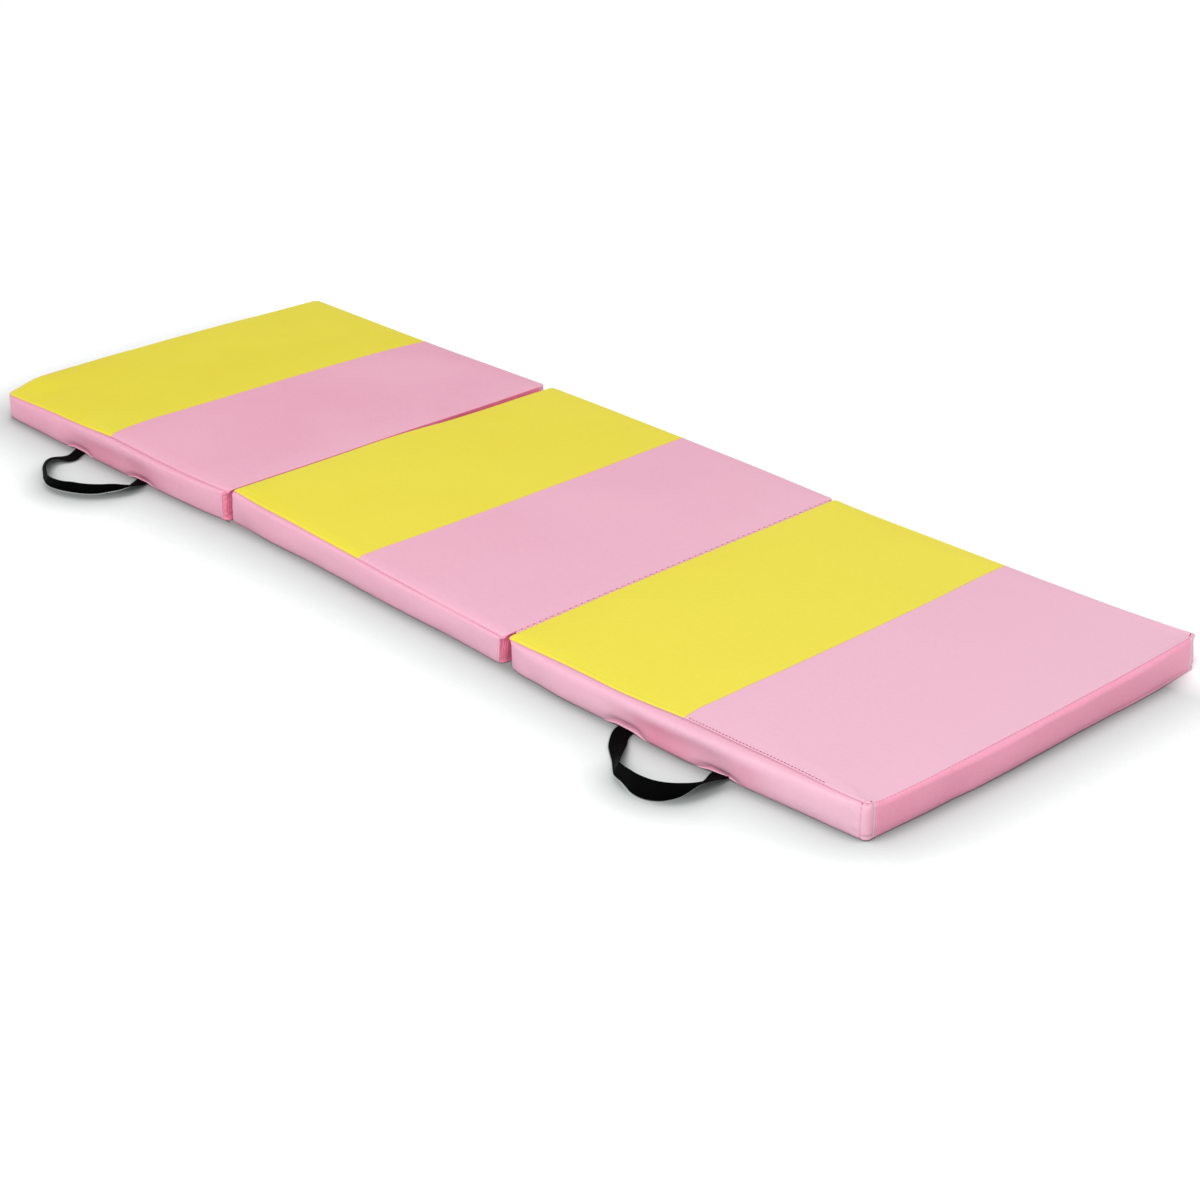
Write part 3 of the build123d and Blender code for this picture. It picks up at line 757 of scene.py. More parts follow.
def simulate(p):
    """Inflates the closed cover as cloth, pinned at its seams, and caps how far each point may move."""
    nu, nv = len(p.u), len(p.v)
    nr, nl = len(ROWS), len(p.loop)
    idx_top = np.arange(nu * nv).reshape(nu, nv)
    idx_gus = np.zeros((nl, nr), int)
    base = nu * nv
    idx_gus[:, 1:-1] = base + np.arange(nl * (nr - 2)).reshape(nl, nr - 2)
    base2 = base + nl * (nr - 2)
    idx_bot = base2 + np.arange(nu * nv).reshape(nu, nv)
    idx_gus[:, 0] = idx_top[p.loop[:, 0], p.loop[:, 1]]
    idx_gus[:, -1] = idx_bot[p.loop[:, 0], p.loop[:, 1]]
    V = np.concatenate([p.top.reshape(-1, 3), p.gus[:, 1:-1].reshape(-1, 3), p.bot.reshape(-1, 3)])
    q = lambda I: np.stack([I[:-1, :-1], I[1:, :-1], I[1:, 1:], I[:-1, 1:]], -1).reshape(-1, 4)
    g = np.concatenate([idx_gus, idx_gus[:1]])
    F = np.concatenate([q(idx_top), q(idx_bot)[:, ::-1], q(g)[:, ::-1]])
    ob = new_object("sim_" + p.n, V, F, None)
    # pinned: the whole underside, every seam loop, and the zipped back
    pin = np.zeros(len(V))
    pin[idx_bot.ravel()] = 1
    pin[idx_gus[:, 0]] = 1
    pin[idx_gus[:, 1]] = 0.5
    pin[idx_gus[:, -2:]] = 1
    back = np.where(p.is_back > 0.05)[0]
    pin[idx_gus[back]] = 1
    for side in p.walls:
        near = np.where(side > 0.3)[0]
        pin[idx_gus[near]] = np.maximum(pin[idx_gus[near]], 0.55)
    pin[idx_top[np.argmin(np.abs(p.u - p.split))]] = 0.8
    vg = ob.vertex_groups.new(name="pin")
    for w in np.unique(pin):
        if w > 0:
            vg.add([int(i) for i in np.where(pin == w)[0]], float(w), "REPLACE")
    sh = ob.vertex_groups.new(name="slack")
    sh.add([int(i) for i in idx_gus[:, 1:-1].ravel()], 1.0, "REPLACE")
    md = ob.modifiers.new("cloth", "CLOTH")
    c = md.settings
    c.quality = 5
    c.mass = 0.25
    c.use_pressure = True
    c.uniform_pressure_force = 3.2
    c.vertex_group_mass = "pin"
    c.vertex_group_shrink = "slack"
    c.shrink_min = 0.0
    c.shrink_max = -0.018
    c.tension_stiffness = 60
    c.compression_stiffness = 30
    c.shear_stiffness = 20
    c.bending_stiffness = 0.6
    c.effector_weights.gravity = 0
    md.collision_settings.use_collision = False
    md.point_cache.frame_start, md.point_cache.frame_end = 1, 20
    for fr in range(1, 19):
        SC.frame_set(fr)
    ev = ob.evaluated_get(bpy.context.evaluated_depsgraph_get())
    me = ev.to_mesh()
    co = np.zeros(len(me.vertices) * 3)
    me.vertices.foreach_get("co", co)
    co = co.reshape(-1, 3) / MM
    ev.to_mesh_clear()
    bpy.data.objects.remove(ob)
    SC.frame_set(1)
    move = co - V
    move[~np.isfinite(move).all(1)] = 0
    size = np.linalg.norm(move, axis=1, keepdims=True)
    cap = np.full((len(V), 1), 1.6)
    cap[idx_top.ravel()] = 0.6
    cap[idx_bot.ravel()] = 0.0
    for side in p.walls:
        cap[idx_gus[np.where(side > 0.3)[0]].ravel()] = 0.9
    cap[idx_gus[np.where(p.joint_side > 0.2)[0]].ravel()] = 0.0
    move *= cap / (cap + size + 1e-9)
    print("SIM", p.n, "moved mean %.2f max %.2f" % (size.mean(), size.max()))
    co = V + move
    co[:, 2] = np.maximum(co[:, 2], 0.05)
    p.top = co[idx_top]
    p.gus = co[idx_gus]
    p.bot = V[idx_bot]


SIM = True
PANELS = {}
for n in NAMES:
    P = make_panel(n)
    if SIM:
        simulate(P)
    PANELS[n] = P

FU = 3      # finer samples between the given ones
SEEDS = {"left": 11, "middle": 23, "right": 37}


def finish_top(p):
    """Fine top surface with its seam rolls, puckers and slow waves."""
    n = p.n
    top = catmull(catmull(p.top, FU, 0), FU, 1)
    u, v = linear(p.u, FU, 0), linear(p.v, FU, 0)
    U, V = np.meshgrid(u, v, indexing="ij")
    N = normals(top)
    du = np.minimum(U, p.LU - U)
    dv = np.minimum(V, p.LV - V)
    d = np.minimum(du, dv)
    along = np.where(dv < du, U, V + 700)
    sd = SEEDS[n]
    sm = 1 - 0.75 * (n == "right") * (p.LU - U < dv) * (p.LU - U < U)
    h = sm * (-0.42 * np.exp(-((d / 1.2) ** 2)) + 0.26 * np.exp(-(((d - 4.0) / 2.1) ** 2)))
    h += 0.22 * np.exp(-d / 8.0) * wave1(along, sd, 17) * (1 - np.exp(-d / 1.2))
    h += 0.16 * wave2(U, V, sd + 1, 110) * (1 - np.exp(-d / 30))
    ds = np.abs(U - p.split)
    h += -0.40 * np.exp(-((ds / 0.9) ** 2)) + 0.14 * np.exp(-(((ds - 2.6) / 1.5) ** 2))
    h += 0.08 * np.exp(-ds / 7.0) * wave1(V, sd + 3, 19) * (1 - np.exp(-ds / 1.2))
    # at the right-hand corners the seam opens into a small slit behind a raised lip
    if n == "right":
        cu = p.LU - U
        for cv, k in ((V, 1.0), (p.LV - V, 0.75)):
            f = np.clip((cv - 1.0) / 11.5, 0, 1)
            line = 7.3 - 4.6 * f - 1.2 * np.sin(np.pi * f)
            off = cu - line
            on = ease(cv, [-1.0, 1.5, 11.0, 14.0], [0.4, 1, 1, 0]) * k
            h += on * (-2.6 * np.exp(-((off / 1.15) ** 2)) + 1.0 * np.exp(-(((off - 3.2) / 1.6) ** 2)) + 0.7 * np.exp(-(((off + 2.7) / 1.3) ** 2)))
            h += 0.30 * k * np.exp(-((cu - 9) ** 2 + (cv - 15) ** 2) / 90.0) * np.sin(cu * 0.9 + cv * 0.35)
    top = top + N * h[..., None]
    if n == "right":
        # folded over, this top must clear the middle panel's top
        mt = PANELS["middle"].ftop
        mg = PANELS["middle"].fgus[:, :11]
        tree = BVHTree.FromPolygons(mt.reshape(-1, 3).tolist() + mg.reshape(-1, 3).tolist(),
                                    grid_faces(*mt.shape[:2]).tolist() + (grid_faces(*mg.shape[:2]) + mt.shape[0] * mt.shape[1]).tolist())
        for i in range(top.shape[0]):
            for j in range(top.shape[1]):
                hit = tree.ray_cast((2 * FOLD2 - top[i, j, 0], top[i, j, 1], 200.0), (0, 0, -1))[0]
                if hit is not None:
                    top[i, j, 2] = min(top[i, j, 2], 2 * AX2 - 0.5 - hit[2])
    # painted shade along the top's edge roll and along the colour seam
    p.frich = (sm - 0.25) * 0.30 * np.exp(-((d / 1.0) ** 2)) + 0.18 * np.exp(-((ds / 0.8) ** 2))
    p.ftop, p.fu, p.fv, p.fN = top, u, v, normals(top)
    p.etop = top
    return p


def finish_gusset(p):
    n = p.n
    FR = 2
    G = catmull(catmull(p.gus, FU, 0, closed=True), FR, 1)
    f = linear(ROWS, FR, 0)
    s = linear(p.s, FU, 0, closed=True, period=p.period)
    # the top row is exactly the top sheet's edge
    k = len(p.u) * FU - FU
    m = len(p.v) * FU - FU
    edge = np.concatenate([p.etop[:k, 0], p.etop[k, :m], p.etop[k:0:-1, m], p.etop[0, m:0:-1]])
    corner = {"fl": 0.0, "fr": p.s[len(p.u) - 1], "br": p.s[len(p.u) - 1 + len(p.v) - 1], "bl": p.s[2 * (len(p.u) - 1) + len(p.v) - 1]}
    p.corner = corner
    G[..., 2] *= np.clip(edge[:, 2] / np.maximum(G[:, 0, 2], 1.0), 0.8, 1.2)[:, None]
    N = -normals(G, closed=True)        # outward
    Z = G[..., 2]
    S = s[:, None] + 0 * f[None, :]
    sd = SEEDS[n] + 50
    zt = edge[:, 2][:, None]
    dz = np.minimum(f * zt, (1 - f) * 43.0) + 0 * S
    fine = lambda w: linear(w, FU, 0, closed=True)[:, None]
    is_front, is_back, free, jside = fine(p.is_front), fine(p.is_back), fine(p.free), fine(p.joint_side)
    soft = (1 - 0.92 * is_back) * (1 - jside)
    h = -0.38 * (1 - 0.7 * free * (f < 0.5)) * np.exp(-((dz / 1.1) ** 2)) + 0.20 * np.exp(-(((dz - 3.6) / 1.9) ** 2)) * (1 - jside)
    h += soft * 0.22 * np.exp(-dz / 7.0) * wave1(S, sd, 18) * (1 - np.exp(-dz / 1.2))
    h += soft * 0.38 * wave2(S, Z * 2.2, sd + 1, 90)
    # a sewn flange along the lower edge of the free ends
    zl = (1 - f)[None, :] * zt
    far = 0.25 + 0.75 * ease(G[..., 1], [0, 200], [0, 1])
    h += free * far * (-0.8 * np.exp(-(((zl - 4.2) / 1.0) ** 2)) + 0.9 * np.exp(-(((zl - 1.2) / 1.5) ** 2)))
    # joint sides: upright gathers, deepest at the front corner, always inwards
    per = p.period
    dist = lambda c: np.abs((S - c + per / 2) % per - per / 2)
    for key, nm, facing in (("fl", "left", n != "left"), ("fr", "right", n != "right"), ("bl", "left", n != "left"), ("br", "right", n != "right")):
        c = corner[key]
        dd = dist(c)
        if facing and key[0] == "f":
            reach = NEAR[abs(CUT[n][0 if key == "fl" else 1])]
            sgn = 1 if key == "fl" else -1
            ahead = ((S - c + per / 2) % per - per / 2) * sgn        # distance along the front from the corner
            zone = ease(ahead, [-45, -6], [0, 1]) * (ahead < reach + 0.01)
            zone = zone * ease(ahead, [reach - 1.2, reach], [1, 0.0])
            fold = 0.5 + 0.5 * np.sin(S * 2.1 + 0.9 * np.sin(Z * 0.16 + sd) + 0.5 * np.sin(Z * 0.41))
            crump = 0.5 + 0.5 * np.sin(Z * 0.72 + 2.1 * np.sin(S * 0.33 + sd))
            bottom = np.clip(1 - Z / 10.0, 0, 1)
            amp = {"left": (1.3, 1.3, 1.7, 1.0), "middle": (0.3, 1.5, 0.4, 1.6), "right": (0.1, 0.4, 0.2, 0.2)}[n]
            h -= zone * (amp[0] + amp[1] * fold + amp[2] * crump + amp[3] * bottom) * np.sin(np.pi * np.clip(f * 1.04, 0, 1)) ** 0.35
        elif not facing:
            sgn = 1 if key in ("fr", "bl") else -1
            q = ((S - c + per / 2) % per - per / 2) * sgn
            for o, dep in ((-7.5, 0.75), (8.0, 0.4), (17.0, 0.2)) if n == "right" else ((-1.0, 0.5),):
                h += -dep * np.exp(-(((q - o) / 0.8) ** 2)) * (1 - 0.6 * is_back)
                h += 0.2 * dep * np.exp(-(((q - o - 2.2) / 1.1) ** 2)) * (1 - 0.6 * is_back)
            if n == "right":
                h += 0.13 * np.exp(-((q / 8.5) ** 6)) * np.sin(q * 2.6) * np.sin(np.pi * f)[None, :]
                near = np.exp(-((dd / 22) ** 2)) * soft
                h += near * 0.45 * np.sin(Z * 0.45 + 1.3 * np.sin(S * 0.21 + sd)) * np.exp(-(((dd - 15) / 8) ** 2))
                edge_z = Z - zt
                h += 1.1 * np.exp(-((q / 11.0) ** 4)) * np.exp(-(((edge_z + 1.6) / 1.6) ** 2))      # the lip wraps round the corner
                h -= 1.3 * np.exp(-(((q + 7.5) / 1.8) ** 2)) * np.exp(-(((edge_z + 4.6) / 1.2) ** 2))
                strip = np.exp(-(((q - 1.0) / 7.0) ** 4))
                h += strip * (0.8 * np.exp(-(((Z - 1.6) / 1.5) ** 2)) - 2.0 * np.exp(-(((Z - 4.8) / 0.9) ** 2)) + 0.5 * np.exp(-(((Z - 8.5) / 2.5) ** 2)))
    h -= jside * (0.15 + 0.55 * (0.5 + 0.5 * wave1(S + 2.5 * np.sin(Z * 0.13), sd + 7, 30))) * np.sin(np.pi * f)[None, :]
    G = G + N * h[..., None]
    G[..., 1] = handle_pull(n, G[..., 0], G[..., 1], G[..., 2], is_front)
    G[..., 2] = np.maximum(G[..., 2], 0.05)
    # under the webbing the lower edge lifts a little
    if n in HANDLE_X:
        for c in HANDLE_X[n]:
            kx = np.exp(-((np.clip(np.abs(G[..., 0] - c) - 13, 0, 99) / 13.0) ** 2)) * is_front
            G[..., 2] += kx * 3.4 * np.clip(1 - G[..., 2] / 14.0, 0, 1)
    G[:, 0] = edge
    p.fgus, p.fs, p.ff, p.gN = G, s, f, normals(G, closed=True)
    p.f_front, p.f_back = is_front[:, 0], is_back[:, 0]
    # painted shade on the sides: hollows at the handles and the top seam line, then the stitched corner rows and the
    # right-hand corner
    p.grich = front_crease_shade(n, G[..., 0], G[..., 2], np.minimum(f * zt, 99)) * is_front + 0.28 * np.exp(-((f * zt / 1.3) ** 2)) * (1 - is_front) * (1 - free)
    for key, nm in (("fl", "left"), ("fr", "right"), ("bl", "left"), ("br", "right")):
        if nm == n:
            sgn = 1 if key in ("fr", "bl") else -1
            q = ((S - corner[key] + per / 2) % per - per / 2) * sgn
            p.grich = p.grich + 0.45 * np.exp(-(((q + (7.5 if n == "right" else 1.0)) / 0.9) ** 2)) + 0.25 * np.exp(-(((q - 4) / 7) ** 4)) * (n == "right")
    return p


def finish_bottom(p):
    bot = catmull(catmull(p.bot, FU, 0), FU, 1)
    U, V = np.meshgrid(p.fu, p.fv, indexing="ij")
    d = np.minimum(np.minimum(U, p.LU - U), np.minimum(V, p.LV - V))
    bot[..., 2] += 0.5 * (1 - np.exp(-d / 25)) * (0.5 + 0.5 * wave2(U, V, SEEDS[p.n] + 9, 70)) + 0.35 * np.exp(-(((d - 4.0) / 1.1) ** 2))
    bot[..., 2] = np.maximum(bot[..., 2], 0.05)
    if p.n in HANDLE_X:
        for c in HANDLE_X[p.n]:
            kx = np.exp(-((np.clip(np.abs(bot[..., 0] - c) - 13, 0, 99) / 13.0) ** 2)) * ease(bot[..., 1], [-290, -280], [1, 0])
            bot[..., 2] = np.maximum(bot[..., 2], kx * 3.3)
    p.fbot = bot


for n in NAMES:
    p = PANELS[n]
    finish_top(p)
    finish_gusset(p)
    finish_bottom(p)
    # underside edge follows the gusset's lower edge
    k, m = len(p.fu) - 1, len(p.fv) - 1
    lower = p.fgus[:, -1]
    p.fbot[:k, 0] = lower[:k]
    p.fbot[k, :m] = lower[k : k + m]
    p.fbot[k:0:-1, m] = lower[k + m : 2 * k + m]
    p.fbot[0, m:0:-1] = lower[2 * k + m :]


def place(ob, n, slot, *nodes):
    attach(ob, f"{n}_panel")
    if nodes:
        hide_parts(*nodes)
    return ob


def ring_part(p, a, b):
    """Grid of the gusset from loop sample a to b (b may pass the end of the loop)."""
    idx = np.arange(a, b + 1) % len(p.fgus)
    return p.fgus[idx], p.grich[idx]


for n in NAMES:
    p = PANELS[n]
    body = f"{n}_panel"
    cs = int(np.argmin(np.abs(p.fu - p.split)))
    place(sheet(f"{n}_top_sheet_yellow", p.ftop[: cs + 1], YELLOW, rich=p.frich[: cs + 1] * 0.6), n, "yellow_cover", f"{n}_top_yellow")
    place(sheet(f"{n}_top_sheet_pink", p.ftop[cs:], PINK, rich=p.frich[cs:]), n, "pink_cover", f"{n}_top_pink")
    place(sheet(f"{n}_underside_sheet", p.fbot, PINK, thick=0.7, flip=True), n, "pink_cover", f"{n}_bottom_sheet")
    k, m = len(p.fu) - 1, len(p.fv) - 1
    L = len(p.fgus)
    o = SEAM_AT * FU
    cl, cr = CUT[n][0] * FU, CUT[n][1] * FU
    # gusset normals point out when rows run downwards along a counter-clockwise loop
    G, R = ring_part(p, L - cl, L + k + cr)
    place(sheet(f"{n}_front_side", G, PINK, flip=True, rich=R), n, "pink_cover", f"{n}_front_gusset")
    # the walls facing the joint gaps and the right panel's end take the shaded pink copies (painted shade)
    G, R = ring_part(p, k + cr, k + m - o)
    place(sheet(f"{n}_end_wall_right", G, PINK_SHADED_END if n == "right" else PINK_GAP_SHADE, flip=True, rich=R), n, "pink_cover", f"{n}_right_wall")
    G, R = ring_part(p, 2 * k + m + o, L - cl)
    place(sheet(f"{n}_end_wall_left", G, PINK if n == "left" else PINK_GAP_SHADE, flip=True, rich=R), n, "pink_cover", f"{n}_left_wall")
    G = ring_part(p, k + m - o, 2 * k + m + o)[0]
    cx = (G[:-1, :-1, 0] + G[1:, 1:, 0]) / 2
    x_in = (cx > TAPE[n][0][0] + 4) & (cx < TAPE[n][1][0] - 4)
    rows = np.arange(G.shape[1] - 1)[None, :] + 0 * cx
    r5, r6, r7 = 5 * 2, 6 * 2, 7 * 2
    hole = x_in & (rows >= r5) & (rows < r7)
    place(sheet(f"{n}_back_side_upper", G, PINK, flip=True, mask=(rows < r6) & ~hole), n, "pink_cover", f"{n}_back_gusset_upper")
    place(sheet(f"{n}_back_side_lower", G, PINK, flip=True, mask=(rows >= r6) & ~hole), n, "pink_cover", f"{n}_back_gusset_lower")

    # foam core: a soft block that fills the cover
    tpf, btf = p.top.copy(), p.bot.copy()
    cxm = (X0[n] + X1[n]) / 2
    mid = (p.top + p.bot) / 2
    for arr, dz in ((tpf, -3.0), (btf, 3.4)):
        arr[..., 0] = cxm + (np.clip(mid[..., 0], TOPX[n][0], TOPX[n][1]) - cxm) * 0.978
        arr[..., 1] = np.where(mid[..., 1] > 0, mid[..., 1] * 0.976, np.maximum(mid[..., 1] + 5.5, -304.0))
        arr[..., 2] += dz
    dd = np.minimum(np.minimum(*np.meshgrid(p.u, p.v, indexing="ij")), np.minimum(*np.meshgrid(p.LU - p.u, p.LV - p.v, indexing="ij")))
    tpf[..., 2] -= 2.4 * np.exp(-dd / 4.0)
    btf[..., 2] += 1.6 * np.exp(-dd / 4.0)
    nu, nv = len(p.u), len(p.v)
    # the foam stays under the finished top sheet everywhere
    zp = np.pad(p.ftop[::FU, ::FU, 2], 1, mode="edge")
    low = np.min([zp[a : a + nu, b : b + nv] for a in range(3) for b in range(3)], axis=0)
    tpf[..., 2] = np.minimum(tpf[..., 2], low - 2.4)
    it = np.arange(nu * nv).reshape(nu, nv)
    q = lambda I: np.stack([I[:-1, :-1], I[1:, :-1], I[1:, 1:], I[:-1, 1:]], -1).reshape(-1, 4)
    ib = it + nu * nv
    side = []
    lp = [it[i, j] for i, j in p.loop]
    for a, b in zip(lp, lp[1:] + lp[:1]):
        side.append((a, a + nu * nv, b + nu * nv, b))
    fo = new_object(f"{n}_foam_block", np.concatenate([tpf.reshape(-1, 3), btf.reshape(-1, 3)]),
                    q(it).tolist() + q(ib)[:, ::-1].tolist() + side, FOAM)
    place(fo, n, "foam", f"{n}_foam_core")

# ------------------------------------------------------------------ stitching
for n in NAMES:
    p = PANELS[n]
    k, m = len(p.fu) - 1, len(p.fv) - 1
    th = Thread()
    G, N = p.fgus, -p.gN
    L = len(G)
    # top seam: stitches lie in the roll, on the gusset's side
    for a, b in ((0, k), (k, k + m), (k + m, 2 * k + m), (2 * k + m, L)):
        idx = np.arange(a + 4, b - 3) % L
        P1 = G[idx, 0] * 0.6 + G[idx, 1] * 0.4
        N1 = N[idx, 1] + np.array([0, 0, 0.8])
        th.row(P1, N1 / np.linalg.norm(N1, axis=1, keepdims=True), pitch=6.0, length=3.6, lift=0.1)
    # upright rows at each free corner
    per = p.period
    for key, i0 in (("fl", 0), ("fr", k), ("br", k + m), ("bl", 2 * k + m)):
        facing = (key[1] == "l" and n != "left") or (key[1] == "r" and n != "right")
        q = (p.fs - p.corner[key] + per / 2) % per - per / 2
        sgn = 1 if key in ("fr", "bl") else -1
        for o in (((-7.5, 8.0) if n == "right" else (-1.0,)) if not facing else ((-NEAR[abs(CUT[n][0 if key == "fl" else 1])] - 2.2,) if key[0] == "f" else (-12.5,))):
            i = int(np.argmin(np.abs(q * sgn - o)))
            th.row(G[i, 1:-1], N[i, 1:-1], pitch=4.2, length=2.9, lift=0.06, margin=0.6)
    # both edges of the zip opening
    idx = np.arange(k + m + SEAM_AT * FU + 8, 2 * k + m - SEAM_AT * FU - 8)
    idx = [i for i in idx if TAPE[n][0][0] + 6 < G[i, 0, 0] < TAPE[n][1][0] - 6]
    for r0, dz in ((10, 2.6), (14, -2.6)):
        th.row(G[idx, r0] + np.array([0, 0, dz]), N[idx, r0], pitch=4.6, length=3.4, lift=0.05)
    # seam round the underside, 4 mm in from its edge
    for i0, j0, di in ((5, None, 0), (None, 5, 1), (-6, None, 0), (None, -6, 1)):
        P1 = p.fbot[i0, 8:-8] if di == 0 else p.fbot[8:-8, j0]
        th.row(P1, np.tile([0, 0, -1.0], (len(P1), 1)), pitch=6.4, length=4.6, lift=-0.08)
    place(th.build(f"{n}_seam_stitches", THREAD_PINK, r=0.27), n, "thread")
    # the colour seam across the top
    tc = Thread()
    cs = int(np.argmin(np.abs(p.fu - p.split)))
    P1, N1 = p.ftop[cs], p.fN[cs]
    P1 = P1 + np.array([0.35, 0, 0])
    tc.row(P1, N1, pitch=5.2, length=3.9, lift=0.06)
    place(tc.build(f"{n}_colour_seam_stitches", THREAD_PINK, r=0.2, sag=0.3), n, "thread")
    # an open row of darker stitches just behind the right-hand panel's front edge
    if n == "right":
        te = Thread()
        j = int(np.argmin(np.abs(p.fv - 2.4)))
        ii = np.where((p.fu > p.split + 3) & (p.fu < p.LU - 60))[0]
        te.row(p.ftop[ii, j], p.fN[ii, j], pitch=5.4, length=4.3, lift=0.35)
        place(te.build(f"{n}_front_edge_stitches", THREAD_ROSE, r=0.5, sag=0.15), n, "thread")
    # tacks that close the joint ends at the front
    if n == "left":
        tk = Thread()
        xs = np.linspace(-320.5, -309.8, 12)
        P1 = np.stack([xs, 0 * xs - 307.9, 0 * xs + 1.3], -1)
        tk.row(P1, np.tile([0, -1.0, 0], (len(xs), 1)), pitch=2.2, length=2.1, lift=0.1, margin=0.2)
        place(tk.build(f"{n}_joint_tacks", THREAD_RED, r=0.7, sag=0.1), n, "thread")
    # tacks that close the right-hand corners
    if n == "right":
        tk = Thread()
        U, V = np.meshgrid(p.fu, p.fv, indexing="ij")
        for back_side in (False, True):
            cv = p.fv if not back_side else p.LV - p.fv
            jj = sorted([j for j in range(len(cv)) if 1.0 <= cv[j] <= 12.6], key=lambda j: cv[j])
            path = []
            for j in jj:
                f = np.clip((cv[j] - 1.0) / 11.5, 0, 1)
                want = p.LU - (7.3 - 4.6 * f - 1.2 * np.sin(np.pi * f))
                path.append([np.interp(want, p.fu, p.ftop[:, j, c]) for c in range(3)])
            path = np.array(path) + np.array([0, 0, 0.4])
            tk.row(path, np.tile([0, 0, 1.0], (len(path), 1)), pitch=2.6, length=2.5, lift=0.1, margin=0.3)
            q = ((p.fs - p.corner["br" if back_side else "fr"] + per / 2) % per - per / 2) * (-1 if back_side else 1)
            order = np.argsort(q)
            sel = order[(q[order] > -4.5) & (q[order] < 6.0)]
            rr = int(np.argmin(np.abs(p.fgus[sel[0], :, 2] - 4.8)))
            tk.row(G[sel, rr], N[sel, rr], pitch=2.1, length=2.1, lift=1.7, margin=0.2)
            i = order[int(np.argmin(np.abs(q[order] + 7.5)))]
            r2 = [r for r in range(G.shape[1]) if 3.0 < G[i, 0, 2] - G[i, r, 2] < 6.5]
            tk.row(G[i, r2[0] - 1 : r2[-1] + 1], N[i, r2[0] - 1 : r2[-1] + 1], pitch=2.3, length=2.0, lift=0.3, margin=0.2)
        place(tk.build(f"{n}_corner_tacks", THREAD_RED, r=0.6, sag=0.1), n, "thread")

# ------------------------------------------------------------------ hinge strips, one fabric strip across each joint
def strip(name, xs, zs_of_y, ys, mat, thick=0.9):
    X, Y = np.meshgrid(xs, ys, indexing="ij")
    Z = zs_of_y(X, Y)
    return sheet(name, np.stack([X, Y, Z], -1), mat, thick=thick)


ys = np.arange(FRONT + 42, BACK - 9.9, 5.0)
lo_strip = strip(
    "left_hinge_strip",
    np.r_[FOLD1 - 9.0, FOLD1 - 6.5, np.linspace(FOLD1 - 4.6, FOLD1 + 4.6, 19), FOLD1 + 6.5, FOLD1 + 9.0],
    lambda X, Y: 1.15 + 0.25 * np.exp(-(((X - FOLD1) / 2.0) ** 2)) * (1 + 0.6 * wave1(Y, 5, 30)) + 0.35 * (np.abs(X - FOLD1) > 5.5),
    ys, PINK,
)
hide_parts("left_hinge_leaf_on_left_panel", "left_hinge_leaf_on_middle_panel")
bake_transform(lo_strip)

zt2 = lambda Y: edge_height(np.full_like(Y, FOLD2), Y) - 0.2
ys = np.arange(FRONT + 12, BACK - 9.9, 5.0)
hi_strip = strip(
    "right_hinge_strip",
    np.r_[FOLD2 - 7.0, FOLD2 - 4.5, FOLD2 - 2.6, np.linspace(FOLD2 - 1.5, FOLD2 + 1.5, 21), FOLD2 + 2.6, FOLD2 + 4.5, FOLD2 + 7.0],
    lambda X, Y: zt2(Y) - 1.25 - 0.35 * np.exp(-(((X - FOLD2) / 0.8) ** 2)) - 0.5 * (np.abs(X - FOLD2) > 2.5),
    ys, PINK,
)
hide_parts("right_hinge_leaf_on_middle_panel", "right_hinge_leaf_on_right_panel")
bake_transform(hi_strip)

# stitching that fastens the upper hinge to the two tops
for n, sgn in (("middle", -1), ("right", 1)):
    p = PANELS[n]
    i = len(p.fu) - 1 if n == "middle" else 0
    th = Thread()
    row = p.ftop[i, 5:-5] + np.array([sgn * 0.5, 0, 0.15])
    th.row(row, np.tile([-sgn * 0.3, 0, 0.95], (len(row), 1)), pitch=10.5, length=4.4, lift=0.1)
    place(th.build(f"{n}_hinge_stitches", THREAD_RED, r=0.5, sag=0.5), n, "thread")

